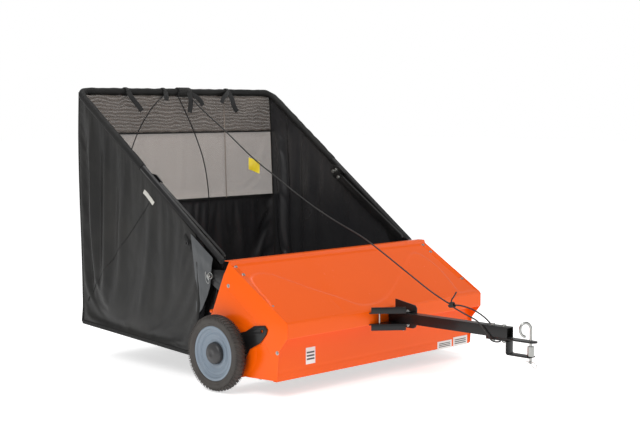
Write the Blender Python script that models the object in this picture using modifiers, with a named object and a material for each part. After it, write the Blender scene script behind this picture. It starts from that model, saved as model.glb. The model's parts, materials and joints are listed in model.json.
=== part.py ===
"""Tow-behind lawn sweeper: sheet-steel brush housing on two wheels, with a fabric
hopper that tips about pins behind the housing.

Run with: blender --background --python part.py
X is the width, -Y points to the tractor, +Z is up. Every piece is laid out from the
point on the ground below the wheel axle, and the whole machine hangs from one empty.
"""
import math

import bmesh
import bpy
from mathutils import Matrix, Vector

# ---------------------------------------------------------------- driving dimensions
AXLE_Y = 0.0255            # axle line, so that the machine's box is centred on Y = 0
GAP = 0.0003               # gap between pieces that touch

TYRE_RADIUS = 0.1400
TYRE_WIDTH = 0.0470
TYRE_STEPS = 48
WHEEL_X = 0.5945           # middle of the tyre
AXLE_Z = TYRE_RADIUS * math.cos(math.pi / TYRE_STEPS)
AXLE_RADIUS = 0.0080
RIM_RADIUS = 0.0995

RING_TEETH = 60
PINION_TEETH = 12
GEAR_MODULE = 0.002833
RING_PITCH = RING_TEETH * GEAR_MODULE / 2
PINION_PITCH = PINION_TEETH * GEAR_MODULE / 2
GEAR_CENTRES = RING_PITCH - PINION_PITCH
GEAR_LEAN = math.radians(169.5)      # direction from the axle to the brush shaft
GEAR_X = 0.5810
GEAR_WIDTH = 0.0130

SHAFT_Y = GEAR_CENTRES * math.cos(GEAR_LEAN)
SHAFT_Z = AXLE_Z + GEAR_CENTRES * math.sin(GEAR_LEAN)
SHAFT_RADIUS = 0.0080
SHAFT_HALF = 0.5895
BEARING_RADIUS = 0.0140    # where it passes through the side plate
BRUSH_RADIUS = 0.1360
BRUSH_HALF = 0.5330
BRISTLE_THICK = 0.0160

PLATE_OUT = 0.5475         # outer face of the housing's side plates
PLATE_THICK = 0.0025
SHEET_THICK = 0.0020
HOOD_HALF = PLATE_OUT - PLATE_THICK - GAP
HOOD_LINE = [(0.010, 0.4700), (-0.018, 0.4700), (-0.024, 0.4560), (-0.3120, 0.2791),
             (-0.3170, 0.2730), (-0.3170, 0.2205), (-0.2620, 0.2145), (-0.2620, 0.0620),
             (-0.2420, 0.0620)]
FLANGE_WIDTH = 0.0280
BRACKET_THICK = 0.0050     # steel of the pivot, wheel and hopper brackets
CARRIER_X = 0.5510         # wheel brackets, just outside the side plates
HEIGHT_BOLT = (-0.030, 0.185)

PIVOT_Y = 0.0900           # hopper tipping axis
PIVOT_Z = 0.4070
PIN_RADIUS = 0.0060
TUBE_RADIUS = 0.0125
TUBE_X = 0.5250            # frame tubes' centre line
FRAME_FRONT = (0.0450, 0.4620)
FRAME_TOP = (0.9050, 1.0880)
FRAME_CORNER = 0.0480      # bend of the frame tubes at the rear
LOWER_FRONT = (0.2150, 0.1260)
LOWER_REAR = (0.8620, 0.1700)
ARM_END = (0.4277, 0.7170)
ARM_X = 0.5003             # bar beside each upper tube
ARM_THICK = 0.0120
UPRIGHT_X = 0.5094         # stamped uprights and their fittings

BAG_OUT = 0.5515
BAG_THICK = 0.0030
BAG_BACK_FOOT = (0.8765, 0.1560)
BAG_BACK_HEAD = (0.9190, 1.0930)
MESH_SILL = 0.6170

BAR_SIDE = 0.0380          # tow bar, square tube
BAR_WALL = 0.0025
BAR_Z = 0.2440
BAR_REAR = -0.3185
BAR_FRONT = -0.8620
IRON_THICK = 0.0040        # plates that join the tow bar to the hood
BOLT_Y = -0.3960           # bolt through both bracket irons and the tow bar
LOCK_Y = -0.3640           # pin behind it, held by a hair clip
STAY = (-0.0870, -0.3330)  # spacer bolt between the irons
BOLT_RADIUS = 0.0042
STAY_RADIUS = 0.0033
BOLT_HOLE = 0.0046
STRAP_THICK = 0.0050
STRAP_WIDTH = 0.0380
STRAP_FRONT = -0.9740
STRAP_REAR = -0.7720
EAR_REAR = -0.8620         # where the lower strap drops to its ear
EAR_FRONT = -0.9560
CLEVIS_BOLT_Y = (-0.7900, -0.8370)
HITCH_Y = -0.9500
HITCH_PIN_RADIUS = 0.0048
JAW_HEIGHT = 0.0470

CLIP_WIRE = 0.0011         # hair clips
ROD_RADIUS = 0.0025        # spring rods behind the bag
ROPE_RADIUS = 0.0027


# ---------------------------------------------------------------- scene and collections
for old in list(bpy.data.objects):
    bpy.data.objects.remove(old, do_unlink=True)

parts = bpy.data.collections.new("lawn_sweeper")
cutters = bpy.data.collections.new("cutters")
bpy.context.scene.collection.children.link(parts)
bpy.context.scene.collection.children.link(cutters)


def material(name, colour, roughness, metallic=0.0):
    made = bpy.data.materials.new(name)
    made.use_nodes = True
    shader = made.node_tree.nodes["Principled BSDF"]
    shader.inputs["Base Color"].default_value = (*colour, 1.0)
    shader.inputs["Roughness"].default_value = roughness
    shader.inputs["Metallic"].default_value = metallic
    return made


ORANGE = material("orange_paint", (0.85, 0.13, 0.02), 0.30)
BLACK = material("black_paint", (0.015, 0.015, 0.016), 0.40)
ZINC = material("zinc_steel", (0.62, 0.63, 0.62), 0.30, 1.0)
RUBBER = material("tyre_rubber", (0.030, 0.028, 0.027), 0.75)
RIM_GREY = material("rim_plastic", (0.16, 0.19, 0.22), 0.45)
CAP_BLACK = material("cap_plastic", (0.020, 0.020, 0.022), 0.40)
BRISTLE = material("bristle", (0.025, 0.025, 0.028), 0.60)
NYLON = material("nylon", (0.55, 0.54, 0.50), 0.45)
VINYL = material("vinyl_fabric", (0.018, 0.018, 0.019), 0.45)
NET = material("mesh_fabric", (0.20, 0.18, 0.17), 0.80)
ROPE = material("rope", (0.02, 0.02, 0.02), 0.80)


# ---------------------------------------------------------------- building helpers
def empty(name, parent, place):
    made = bpy.data.objects.new(name, None)
    made.location = place
    made.parent = parent
    parts.objects.link(made)
    return made


def add(name, data, look, parent, place=(0, 0, 0), turn=(0, 0, 0)):
    made = bpy.data.objects.new(name, data)
    made.location = place
    made.rotation_euler = turn
    made.parent = parent
    data.materials.append(look)
    parts.objects.link(made)
    return made


def closed_spline(curve, points):
    spline = curve.splines.new("POLY")
    spline.points.add(len(points) - 1)
    for knot, (u, v) in zip(spline.points, points):
        knot.co = (u, v, 0, 1)
    spline.use_cyclic_u = True


def flat(name, outline, holes, thickness, look, parent, place, turn):
    """Flat piece cut from plate: a filled outline with holes, extruded both ways."""
    curve = bpy.data.curves.new(name, "CURVE")
    curve.dimensions = "2D"
    curve.fill_mode = "BOTH"
    curve.extrude = thickness / 2
    closed_spline(curve, outline)
    for hole in holes:
        closed_spline(curve, hole)
    return add(name, curve, look, parent, place, turn)


SIDEWAYS = (math.pi / 2, 0, math.pi / 2)     # outline (u, v) becomes (Y, Z)
LEVEL = (0, 0, 0)                            # outline (u, v) becomes (X, Y)
ENDWAYS = (math.pi / 2, 0, 0)                # outline (u, v) becomes (X, Z)


def circle(centre, radius, count=24, start=0.0):
    u, v = centre
    angles = [start + 2 * math.pi * step / count for step in range(count)]
    return [(u + radius * math.cos(a), v + radius * math.sin(a)) for a in angles]


def arc_slot(centre, radius, middle, spread, half_width, count=6):
    """Slot that follows an arc about a centre, as a closed outline."""
    u, v = centre
    outline = []
    for step in range(count + 1):
        a = middle - spread + 2 * spread * step / count
        outline.append((u + (radius + half_width) * math.cos(a),
                        v + (radius + half_width) * math.sin(a)))
    for step in range(count + 1):
        a = middle + spread - 2 * spread * step / count
        outline.append((u + (radius - half_width) * math.cos(a),
                        v + (radius - half_width) * math.sin(a)))
    return outline


def to_mesh(thing):
    """Replace a curve object by a mesh object with welded caps, in the same place."""
    bpy.context.view_layer.update()
    graph = bpy.context.evaluated_depsgraph_get()
    mesh = bpy.data.meshes.new_from_object(thing.evaluated_get(graph))
    shape = bmesh.new()
    shape.from_mesh(mesh)
    bmesh.ops.remove_doubles(shape, verts=shape.verts, dist=0.00002)
    bmesh.ops.recalc_face_normals(shape, faces=shape.faces)
    shape.to_mesh(mesh)
    shape.free()
    made = bpy.data.objects.new(thing.name + "_mesh", mesh)
    made.parent = thing.parent
    made.location = thing.location
    made.rotation_euler = thing.rotation_euler
    parts.objects.link(made)
    name = thing.name
    bpy.data.objects.remove(thing, do_unlink=True)
    made.name = name
    return made


def join_with(base, *others):
    """Unite mesh objects with the base by exact Booleans; the others become guides."""
    for other in others:
        parts.objects.unlink(other)
        cutters.objects.link(other)
        other.name = base.name + "_guide"
        other.hide_render = True
        other.display_type = "WIRE"
        union = base.modifiers.new("union", "BOOLEAN")
        union.operation = "UNION"
        union.object = other
    return base


def drill(piece, spot, radius, depth):
    """Cut a vertical round hole through a mesh object, centred on a spot."""
    mesh = bpy.data.meshes.new("drill")
    shape = bmesh.new()
    bmesh.ops.create_cone(shape, cap_ends=True, segments=16, radius1=radius,
                          radius2=radius, depth=depth)
    shape.to_mesh(mesh)
    shape.free()
    tool = bpy.data.objects.new("drill", mesh)
    tool.parent = sweeper
    tool.location = spot
    tool.hide_render = True
    tool.display_type = "WIRE"
    cutters.objects.link(tool)
    cut = piece.modifiers.new("drill", "BOOLEAN")
    cut.object = tool


def arc_points(before, corner, after, radius, count):
    """Points of a round that replaces one corner of a path."""
    before, corner, after = Vector(before), Vector(corner), Vector(after)
    back = (before - corner).normalized()
    ahead = (after - corner).normalized()
    half = back.angle(ahead) / 2
    reach = radius / math.tan(half)
    middle = corner + (back + ahead).normalized() * (radius / math.sin(half))
    start = corner + back * reach - middle
    end = corner + ahead * reach - middle
    turn = start.angle(end)
    axis = start.cross(end).normalized()
    steps = [turn * step / count for step in range(count + 1)]
    return [middle + Matrix.Rotation(a, 3, axis) @ start for a in steps]


def rounded(points, radius, count=5):
    path = [Vector(points[0])]
    for before, corner, after in zip(points, points[1:], points[2:]):
        path += arc_points(before, corner, after, radius, count)
    path.append(Vector(points[-1]))
    return path


def smooth(points, spacing):
    """Points at even spacing on a smooth curve through the given points."""
    knots = [Vector(p) for p in points]
    knots = [2 * knots[0] - knots[1]] + knots + [2 * knots[-1] - knots[-2]]
    path = []
    for a, b, c, d in zip(knots, knots[1:], knots[2:], knots[3:]):
        count = max(1, round((c - b).length / spacing))
        for step in range(count):
            t = step / count
            path.append(0.5 * (2 * b + (c - a) * t + (2 * a - 5 * b + 4 * c - d) * t ** 2
                               + (3 * b - a - 3 * c + d) * t ** 3))
    path.append(knots[-2])
    return path


def tube(name, path, radius, look, parent, resolution=4):
    """Round bar, tube or rope along a path, with filled ends."""
    curve = bpy.data.curves.new(name, "CURVE")
    curve.dimensions = "3D"
    curve.bevel_depth = radius
    curve.bevel_resolution = resolution
    curve.use_fill_caps = True
    spline = curve.splines.new("POLY")
    spline.points.add(len(path) - 1)
    origin = Vector(parent["from_axle"])
    for knot, point in zip(spline.points, path):
        knot.co = (*(Vector(point) - origin), 1)
    return add(name, curve, look, parent)


def turned(name, profile, side, look, parent, place, steps=32, closed=False):
    """Turned piece about an axis along X. Profile points are (radius, distance out)."""
    mesh = bpy.data.meshes.new(name)
    shape = bmesh.new()
    knots = [shape.verts.new((radius, 0, out)) for radius, out in profile]
    for first, second in zip(knots, knots[1:]):
        shape.edges.new((first, second))
    if closed:
        shape.edges.new((knots[-1], knots[0]))
    shape.to_mesh(mesh)
    shape.free()
    made = add(name, mesh, look, parent, place, (0, side * math.pi / 2, 0))
    spin = made.modifiers.new("turn", "SCREW")
    spin.axis = "Z"
    spin.steps = steps
    spin.render_steps = steps
    spin.use_merge_vertices = True
    spin.merge_threshold = 0.00001
    spin.use_smooth_shade = False
    return made


def bolt_down(name, place, head, grip, shank, nut, look, parent):
    """Vertical hex bolt: head on top, nut below. place is the underside of the head."""
    head_radius, head_height = head
    nut_radius, nut_height = nut
    foot = -grip - nut_height
    end = foot - 0.003
    profile = [(0, head_height), (head_radius, head_height), (head_radius, 0), (shank, 0),
               (shank, -grip), (nut_radius, -grip), (nut_radius, foot), (shank, foot),
               (shank, end), (0, end)]
    made = turned(name, profile, 1, look, parent, place, steps=6)
    made.rotation_euler = (0, 0, 0)
    return made


def side_name(side):
    return "left" if side < 0 else "right"


def local(parent, point):
    return Vector(point) - Vector(parent["from_axle"])


# ---------------------------------------------------------------- joints' empties
sweeper = empty("sweeper", None, (0, AXLE_Y, 0))
sweeper["from_axle"] = (0.0, 0.0, 0.0)


def joint_empty(name, place):
    made = empty(name, sweeper, place)
    made["from_axle"] = tuple(float(v) for v in place)
    return made


hopper = joint_empty("hopper_axis", (0, PIVOT_Y, PIVOT_Z))
brush = joint_empty("brush_axis", (0, SHAFT_Y, SHAFT_Z))
hitch = joint_empty("hitch_axis", (0, HITCH_Y, BAR_Z))


# ---------------------------------------------------------------- housing
def offset_line(points, distance):
    """Polyline moved sideways by a distance, with mitred corners."""
    normals = []
    for (ya, za), (yb, zb) in zip(points, points[1:]):
        run = Vector((yb - ya, zb - za)).normalized()
        normals.append(Vector((-run.y, run.x)))
    moved = [Vector(points[0]) + normals[0] * distance]
    for index in range(1, len(points) - 1):
        mitre = (normals[index - 1] + normals[index]).normalized()
        stretch = distance / mitre.dot(normals[index])
        moved.append(Vector(points[index]) + mitre * stretch)
    moved.append(Vector(points[-1]) + normals[-1] * distance)
    return [tuple(p) for p in moved]


def bent_sheet(name, line, inside, low_x, high_x, look, parent):
    """Folded sheet of constant section along X, from its outer line and inner line."""
    outline = line + inside[::-1]
    return flat(name, outline, [], high_x - low_x, look, parent,
                ((low_x + high_x) / 2, 0, 0), SIDEWAYS)


def build_hood():
    inside = offset_line(HOOD_LINE, SHEET_THICK)
    bent_sheet("hood", HOOD_LINE, inside, -HOOD_HALF, HOOD_HALF, ORANGE, sweeper)


SIDE_OUTLINE = [(-0.018, 0.4698), (-0.024, 0.4560), (-0.3118, 0.2789), (-0.3168, 0.2730),
                (-0.3168, 0.2225), (-0.2730, 0.1710), (-0.2645, 0.0660), (-0.1100, 0.0600),
                (0.0400, 0.0700), (0.0760, 0.1300), (0.0860, 0.2000), (0.0860, 0.2620),
                (0.0760, 0.2760), (0.0150, 0.4140), (-0.0070, 0.4520)]


def build_side_plate(side):
    x_mid = side * (PLATE_OUT - PLATE_THICK / 2)
    bearing_hole = circle((SHAFT_Y, SHAFT_Z), BEARING_RADIUS + GAP)
    reach = math.hypot(HEIGHT_BOLT[0] - SHAFT_Y, HEIGHT_BOLT[1] - SHAFT_Z)
    middle = math.atan2(HEIGHT_BOLT[1] - SHAFT_Z, HEIGHT_BOLT[0] - SHAFT_Y)
    slot = arc_slot((SHAFT_Y, SHAFT_Z), reach, middle, math.radians(22), 0.0045)
    web = to_mesh(flat("side_plate_" + side_name(side), SIDE_OUTLINE, [bearing_hole, slot],
                       PLATE_THICK, ORANGE, sweeper, (x_mid, 0, 0), SIDEWAYS))
    top_line = offset_line(HOOD_LINE[2:4], SHEET_THICK + GAP)
    top_line = [top_line[0], tuple(Vector(top_line[0]).lerp(Vector(top_line[1]), 0.70))]
    inside = offset_line(top_line, PLATE_THICK)
    outer = side * (PLATE_OUT - PLATE_THICK / 2)
    inner = side * (PLATE_OUT - FLANGE_WIDTH)
    flange = to_mesh(bent_sheet("flange", top_line, inside, min(outer, inner),
                                max(outer, inner), ORANGE, sweeper))
    join_with(web, flange)


def build_bearing(side):
    inner_face = PLATE_OUT - PLATE_THICK
    bore = SHAFT_RADIUS + GAP
    profile = [(BEARING_RADIUS, 0.5560), (BEARING_RADIUS, inner_face - GAP),
               (0.0220, inner_face - GAP), (0.0220, 0.5380), (bore, 0.5380), (bore, 0.5560)]
    turned("bearing_" + side_name(side), profile, side, NYLON, sweeper,
           (0, SHAFT_Y, SHAFT_Z), 16, closed=True)


def build_pivot_bracket(side):
    """Steel ear bolted inside the side plate; it carries the hopper's pivot pin."""
    outline = [(-0.030, 0.3600), (0.040, 0.3560), (0.090, 0.3800)]
    outline += [(PIVOT_Y + 0.027 * math.cos(a), PIVOT_Z + 0.027 * math.sin(a))
                for a in [math.radians(d) for d in range(-60, 121, 30)]]
    outline += [(0.040, 0.4330), (-0.010, 0.4330), (-0.030, 0.4150)]
    hole = circle((PIVOT_Y, PIVOT_Z), PIN_RADIUS + GAP, 16)
    middle = side * (PLATE_OUT - PLATE_THICK - GAP - BRACKET_THICK / 2)
    flat("pivot_bracket_" + side_name(side), outline, [hole], BRACKET_THICK, BLACK, sweeper,
         (middle, 0, 0), SIDEWAYS)


def build_pivot_pin(side):
    profile = [(0, 0.5560), (0.0085, 0.5560), (0.0100, 0.5535), (0.0100, 0.5450),
               (PIN_RADIUS, 0.5450), (PIN_RADIUS, 0.4900), (0, 0.4900)]
    turned("pivot_pin_" + side_name(side), profile, side, ZINC, sweeper,
           (0, PIVOT_Y, PIVOT_Z), 16)


# ---------------------------------------------------------------- wheels and drive
def build_carrier(side):
    """Black wheel bracket: it turns about the brush shaft to set the brush height."""
    outline = [(-0.1120, 0.2270), (-0.1540, 0.2505), (-0.2070, 0.2575), (-0.2205, 0.2440),
               (-0.2140, 0.2266), (-0.1860, 0.1940), (-0.1305, 0.1650), (-0.1000, 0.1200),
               (-0.0300, 0.1020), (0.0200, 0.1080), (0.0360, 0.1400), (0.0250, 0.1680),
               (-0.0150, 0.2050), (-0.0600, 0.2120)]
    holes = [circle((0, AXLE_Z), AXLE_RADIUS + GAP), circle((SHAFT_Y, SHAFT_Z), BEARING_RADIUS + GAP),
             circle((-0.1932, 0.2362), 0.0060, 16), circle(HEIGHT_BOLT, 0.0043, 12)]
    flat("wheel_bracket_" + side_name(side), outline, holes, BRACKET_THICK, BLACK, sweeper,
         (side * CARRIER_X, 0, 0), SIDEWAYS)


def build_height_bolt(side):
    """Carriage bolt that clamps the wheel bracket against the side plate's slot."""
    profile = [(0, 0.5590), (0.0050, 0.5585), (0.0080, 0.5538), (0.0040, 0.5538),
               (0.0040, 0.5446), (0.0120, 0.5446), (0.0120, 0.5420), (0.0070, 0.5420),
               (0.0070, 0.5360), (0, 0.5360)]
    turned("height_bolt_" + side_name(side), profile, side, ZINC, sweeper,
           (0, HEIGHT_BOLT[0], HEIGHT_BOLT[1]), 12)


def build_axle(side):
    profile = [(0, 0.6165), (0.0110, 0.6165), (0.0110, 0.6125), (AXLE_RADIUS, 0.6125),
               (AXLE_RADIUS, 0.5610), (0.0130, 0.5610), (0.0130, 0.5538),
               (AXLE_RADIUS, 0.5538), (AXLE_RADIUS, 0.5482), (0, 0.5482)]
    turned("axle_" + side_name(side), profile, side, ZINC, sweeper, (0, 0, AXLE_Z), 16)


def gear_outline(teeth, root, tip, root_share, tip_share, middle):
    """Closed toothed outline; a tooth is centred on the middle angle."""
    pitch = 2 * math.pi / teeth
    outline = []
    for tooth in range(teeth):
        centre = middle + tooth * pitch
        for radius, share in ((root, -root_share), (tip, -tip_share), (tip, tip_share),
                              (root, root_share)):
            a = centre + share * pitch / 2
            outline.append((radius * math.cos(a), radius * math.sin(a)))
    return outline


def build_wheel(side):
    name = side_name(side)
    place = (0, 0, AXLE_Z)
    half = TYRE_WIDTH / 2
    tread = [(0.1002, 0.0195), (0.1060, 0.0215), (0.1180, half), (0.1300, 0.0225),
             (0.1372, 0.0185), (TYRE_RADIUS, 0.0120)]
    profile = tread + [(radius, -out) for radius, out in reversed(tread)]
    profile = [(radius, WHEEL_X + out) for radius, out in profile]
    tyre = turned("tyre_" + name, profile, side, RUBBER, sweeper, place, TYRE_STEPS, True)
    tyre.rotation_euler = Matrix.Rotation(side * math.pi / 2, 3, "Y").to_euler()
    tyre.rotation_euler.rotate_axis("Z", math.pi / TYRE_STEPS)
    outer = [(RIM_RADIUS, 0.6135), (RIM_RADIUS, 0.5735), (0.0955, 0.5735), (0.0955, 0.5905),
             (0.0215, 0.5905), (0.0215, 0.5770), (AXLE_RADIUS + GAP, 0.5770),
             (AXLE_RADIUS + GAP, 0.6120), (0.0215, 0.6120), (0.0240, 0.5990),
             (0.0440, 0.5970), (0.0620, 0.5990), (0.0640, 0.6020), (0.0800, 0.6020),
             (0.0820, 0.6050), (0.0890, 0.6060), (0.0900, 0.6135)]
    rim = turned("rim_" + name, outer, side, RIM_GREY, sweeper, place, 32, True)
    teeth = gear_outline(RING_TEETH, RING_PITCH + 0.0035, RING_PITCH - 0.0025, 0.62, 0.30,
                         GEAR_LEAN + math.pi / RING_TEETH)
    ring = to_mesh(flat("ring", circle((0, 0), 0.0970, 32), [teeth], GEAR_WIDTH, RIM_GREY,
                        sweeper, (side * GEAR_X, 0, AXLE_Z), SIDEWAYS))
    join_with(rim, ring)
    cap = [(0, 0.6215), (0.0300, 0.6205), (0.0370, 0.6170), (0.0400, 0.6100),
           (0.0400, 0.6000), (0.0370, 0.6000), (0.0370, 0.6090), (0.0345, 0.6145),
           (0.0290, 0.6172), (0, 0.6180)]
    turned("hub_cap_" + name, cap, side, CAP_BLACK, sweeper, place, 24)


def build_pinion(side):
    teeth = gear_outline(PINION_TEETH, PINION_PITCH - 0.0035, PINION_PITCH + 0.0025,
                         0.60, 0.25, GEAR_LEAN)
    bore = circle((0, 0), SHAFT_RADIUS + GAP)
    flat("pinion_" + side_name(side), teeth, [bore], GEAR_WIDTH, ZINC, sweeper,
         (side * GEAR_X, SHAFT_Y, SHAFT_Z), SIDEWAYS)


def build_brush():
    profile = [(0, SHAFT_HALF), (SHAFT_RADIUS, SHAFT_HALF), (SHAFT_RADIUS, -SHAFT_HALF),
               (0, -SHAFT_HALF)]
    turned("brush_shaft", profile, 1, ZINC, brush, (0, 0, 0), 16)
    wing = 0.0105
    reach = 0.0330
    cross = []
    for quarter in range(4):
        a = (quarter + 0.5) * math.pi / 2
        for u, v in ((reach, -wing), (reach, wing), (wing, wing)):
            cross.append((u * math.cos(a) - v * math.sin(a), u * math.sin(a) + v * math.cos(a)))
    flat("brush_core", cross, [circle((0, 0), SHAFT_RADIUS + GAP)], 2 * BRUSH_HALF, ZINC,
         brush, (0, 0, 0), SIDEWAYS)
    for row in range(4):
        low = reach + GAP
        mesh = bpy.data.meshes.new("bristle_row")
        shape = bmesh.new()
        size = Matrix.Diagonal((2 * BRUSH_HALF, BRISTLE_THICK, BRUSH_RADIUS - low, 1))
        lift = Matrix.Translation((0, 0, (BRUSH_RADIUS + low) / 2))
        bmesh.ops.create_cube(shape, size=1, matrix=lift @ size)
        shape.to_mesh(mesh)
        shape.free()
        add("bristle_row_%d" % (row + 1), mesh, BRISTLE, brush, (0, 0, 0),
            ((row + 0.5) * math.pi / 2, 0, 0))


# ---------------------------------------------------------------- hopper
def build_frames():
    front_y, front_z = FRAME_FRONT
    top_y, top_z = FRAME_TOP
    upper = [(-TUBE_X, front_y, front_z), (-TUBE_X, top_y, top_z), (TUBE_X, top_y, top_z),
             (TUBE_X, front_y, front_z)]
    tube("upper_frame", rounded(upper, FRAME_CORNER), TUBE_RADIUS, BLACK, hopper)
    front_y, front_z = LOWER_FRONT
    rear_y, rear_z = LOWER_REAR
    lower = [(-TUBE_X, front_y, front_z), (-TUBE_X, rear_y, rear_z), (TUBE_X, rear_y, rear_z),
             (TUBE_X, front_y, front_z)]
    tube("lower_frame", rounded(lower, FRAME_CORNER), TUBE_RADIUS, BLACK, hopper)


def bar_outline(start, end, half_width, count=6):
    """Flat bar with round ends, as a closed outline."""
    start, end = Vector(start), Vector(end)
    lean = math.atan2(end.y - start.y, end.x - start.x)
    outline = []
    for centre, first in ((end, lean - math.pi / 2), (start, lean + math.pi / 2)):
        for step in range(count + 1):
            a = first + math.pi * step / count
            outline.append((centre.x + half_width * math.cos(a),
                            centre.y + half_width * math.sin(a)))
    return outline


def build_arm(side):
    """Inner bar beside the upper frame tube, bolted through it at its top end."""
    outline = bar_outline((0.0750, 0.4760), ARM_END, 0.0150)
    flat("hopper_arm_" + side_name(side), outline, [circle(ARM_END, 0.0045, 12)], ARM_THICK,
         BLACK, hopper, local(hopper, (side * ARM_X, 0, 0)), SIDEWAYS)


def build_upright(side):
    """Stamped upright between the upper and lower frames; it hangs on the pivot pin."""
    outline = [(0.0560, 0.4760), (0.0560, 0.4380), (0.0690, 0.3800), (0.0930, 0.3560),
               (0.1240, 0.2500), (0.1880, 0.1330), (0.1900, 0.1130), (0.2800, 0.1160),
               (0.2800, 0.1430), (0.2100, 0.1500), (0.1660, 0.2500), (0.1420, 0.3560),
               (0.1300, 0.4300), (0.1750, 0.5350), (0.1500, 0.5420)]
    hole = circle((PIVOT_Y, PIVOT_Z), PIN_RADIUS + GAP, 16)
    flat("hopper_upright_" + side_name(side), outline, [hole], BRACKET_THICK, BLACK, hopper,
         local(hopper, (side * UPRIGHT_X, 0, 0)), SIDEWAYS)


def build_arm_bracket(side):
    """Plate with two bolts that ties the bar's top end to the frame tube."""
    outline = [(0.4020, 0.7340), (0.4180, 0.7360), (0.4520, 0.7090), (0.4720, 0.7160),
               (0.4900, 0.7480), (0.4700, 0.7680), (0.4400, 0.7640)]
    holes = [circle((0.4540, 0.7480), 0.0032, 10)]
    flat("arm_bracket_" + side_name(side), outline, holes, BRACKET_THICK, BLACK, hopper,
         local(hopper, (side * UPRIGHT_X, 0, 0)), SIDEWAYS)


BAG_SIDE = [(0.0620, 0.4700), (0.1150, 0.4420), (0.1380, 0.4000), (0.1340, 0.3100),
            (0.1850, 0.1750), (0.1950, 0.1010), (0.8790, 0.1470), (0.9230, 1.0800),
            (0.9080, 1.1000), (0.8950, 1.1020)]
BAG_FLOOR = [(0.2000, 0.1030), (0.8740, 0.1490)]


def build_bag():
    for side in (-1, 1):
        flat("bag_side_" + side_name(side), BAG_SIDE, [], BAG_THICK, VINYL, hopper,
             local(hopper, (side * (BAG_OUT - BAG_THICK / 2), 0, 0)), SIDEWAYS)
    half = BAG_OUT - BAG_THICK - GAP
    foot = Vector(BAG_BACK_FOOT)
    head = Vector(BAG_BACK_HEAD)
    share = (MESH_SILL - foot.y) / (head.y - foot.y)
    sill = foot.lerp(head, share)
    above = foot.lerp(head, share + 0.0006)
    panels = [("bag_back", [tuple(foot), tuple(sill)], -BAG_THICK, VINYL),
              ("bag_window", [tuple(above), tuple(head)], -BAG_THICK, NET),
              ("bag_floor", BAG_FLOOR, BAG_THICK, VINYL)]
    for name, line, depth, look in panels:
        panel = bent_sheet(name, line, offset_line(line, depth), -half, half, look, hopper)
        panel.location = local(hopper, (0, 0, 0))


def build_rods():
    """Spring rods that bow between the top rail and the rear tube of the lower frame."""
    left = [(-0.112, 0.8880, 1.072), (-0.185, 0.8830, 1.010), (-0.262, 0.8800, 0.905),
            (-0.318, 0.8760, 0.770), (-0.335, 0.8700, 0.640), (-0.318, 0.8630, 0.480),
            (-0.262, 0.8520, 0.330), (-0.190, 0.8420, 0.205), (-0.178, 0.8400, 0.186)]
    right = [(-0.030, 0.8880, 1.072), (0.024, 0.8830, 0.975), (0.070, 0.8800, 0.880),
             (0.106, 0.8760, 0.780), (0.124, 0.8700, 0.660), (0.120, 0.8620, 0.540),
             (0.098, 0.8540, 0.400), (0.055, 0.8450, 0.260), (0.030, 0.8400, 0.186)]
    for name, route in (("spring_rod_left", left), ("spring_rod_right", right)):
        tube(name, smooth(route, 0.045), ROD_RADIUS, BLACK, hopper, 2)


# ---------------------------------------------------------------- tow bar and hitch
def square(half):
    return [(-half, -half), (half, -half), (half, half), (-half, half)]


def build_tow_bar():
    length = BAR_REAR - BAR_FRONT
    holes = [square(BAR_SIDE / 2 - BAR_WALL)]
    bar = to_mesh(flat("tow_bar", square(BAR_SIDE / 2), holes, length, BLACK, sweeper,
                       (0, (BAR_REAR + BAR_FRONT) / 2, BAR_Z), ENDWAYS))
    for y in (BOLT_Y, LOCK_Y, *CLEVIS_BOLT_Y):
        drill(bar, (0, y, BAR_Z), BOLT_HOLE, 2 * BAR_SIDE)


BRACKET_EDGE = [(-0.1270, -0.3176), (0.0190, -0.3176), (0.0190, -0.4060), (-0.0210, -0.4060)]


def build_bracket_iron(name, level, lip_up):
    """Tapered iron above or below the tow bar, with a stiffening lip on its long edge."""
    holes = [circle((0, y), BOLT_HOLE, 12) for y in (BOLT_Y, LOCK_Y)]
    holes.append(circle(STAY, STAY_RADIUS + GAP, 12))
    plate = to_mesh(flat(name, BRACKET_EDGE, holes, IRON_THICK, BLACK, sweeper,
                         (0, 0, level), LEVEL))
    end = Vector(BRACKET_EDGE[3])
    start = Vector(BRACKET_EDGE[0]).lerp(end, 0.06)
    run = end - start
    mesh = bpy.data.meshes.new(name + "_lip")
    shape = bmesh.new()
    size = Matrix.Diagonal((run.length, IRON_THICK, 0.024, 1))
    bmesh.ops.create_cube(shape, size=1, matrix=size)
    shape.to_mesh(mesh)
    shape.free()
    middle = (start + end) / 2 + Vector((run.y, -run.x)).normalized() * -0.0019
    lip = add(name + "_lip", mesh, BLACK, sweeper,
              (middle.x, middle.y, level + lip_up * 0.0100), (0, 0, math.atan2(run.y, run.x)))
    join_with(plate, lip)


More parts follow.
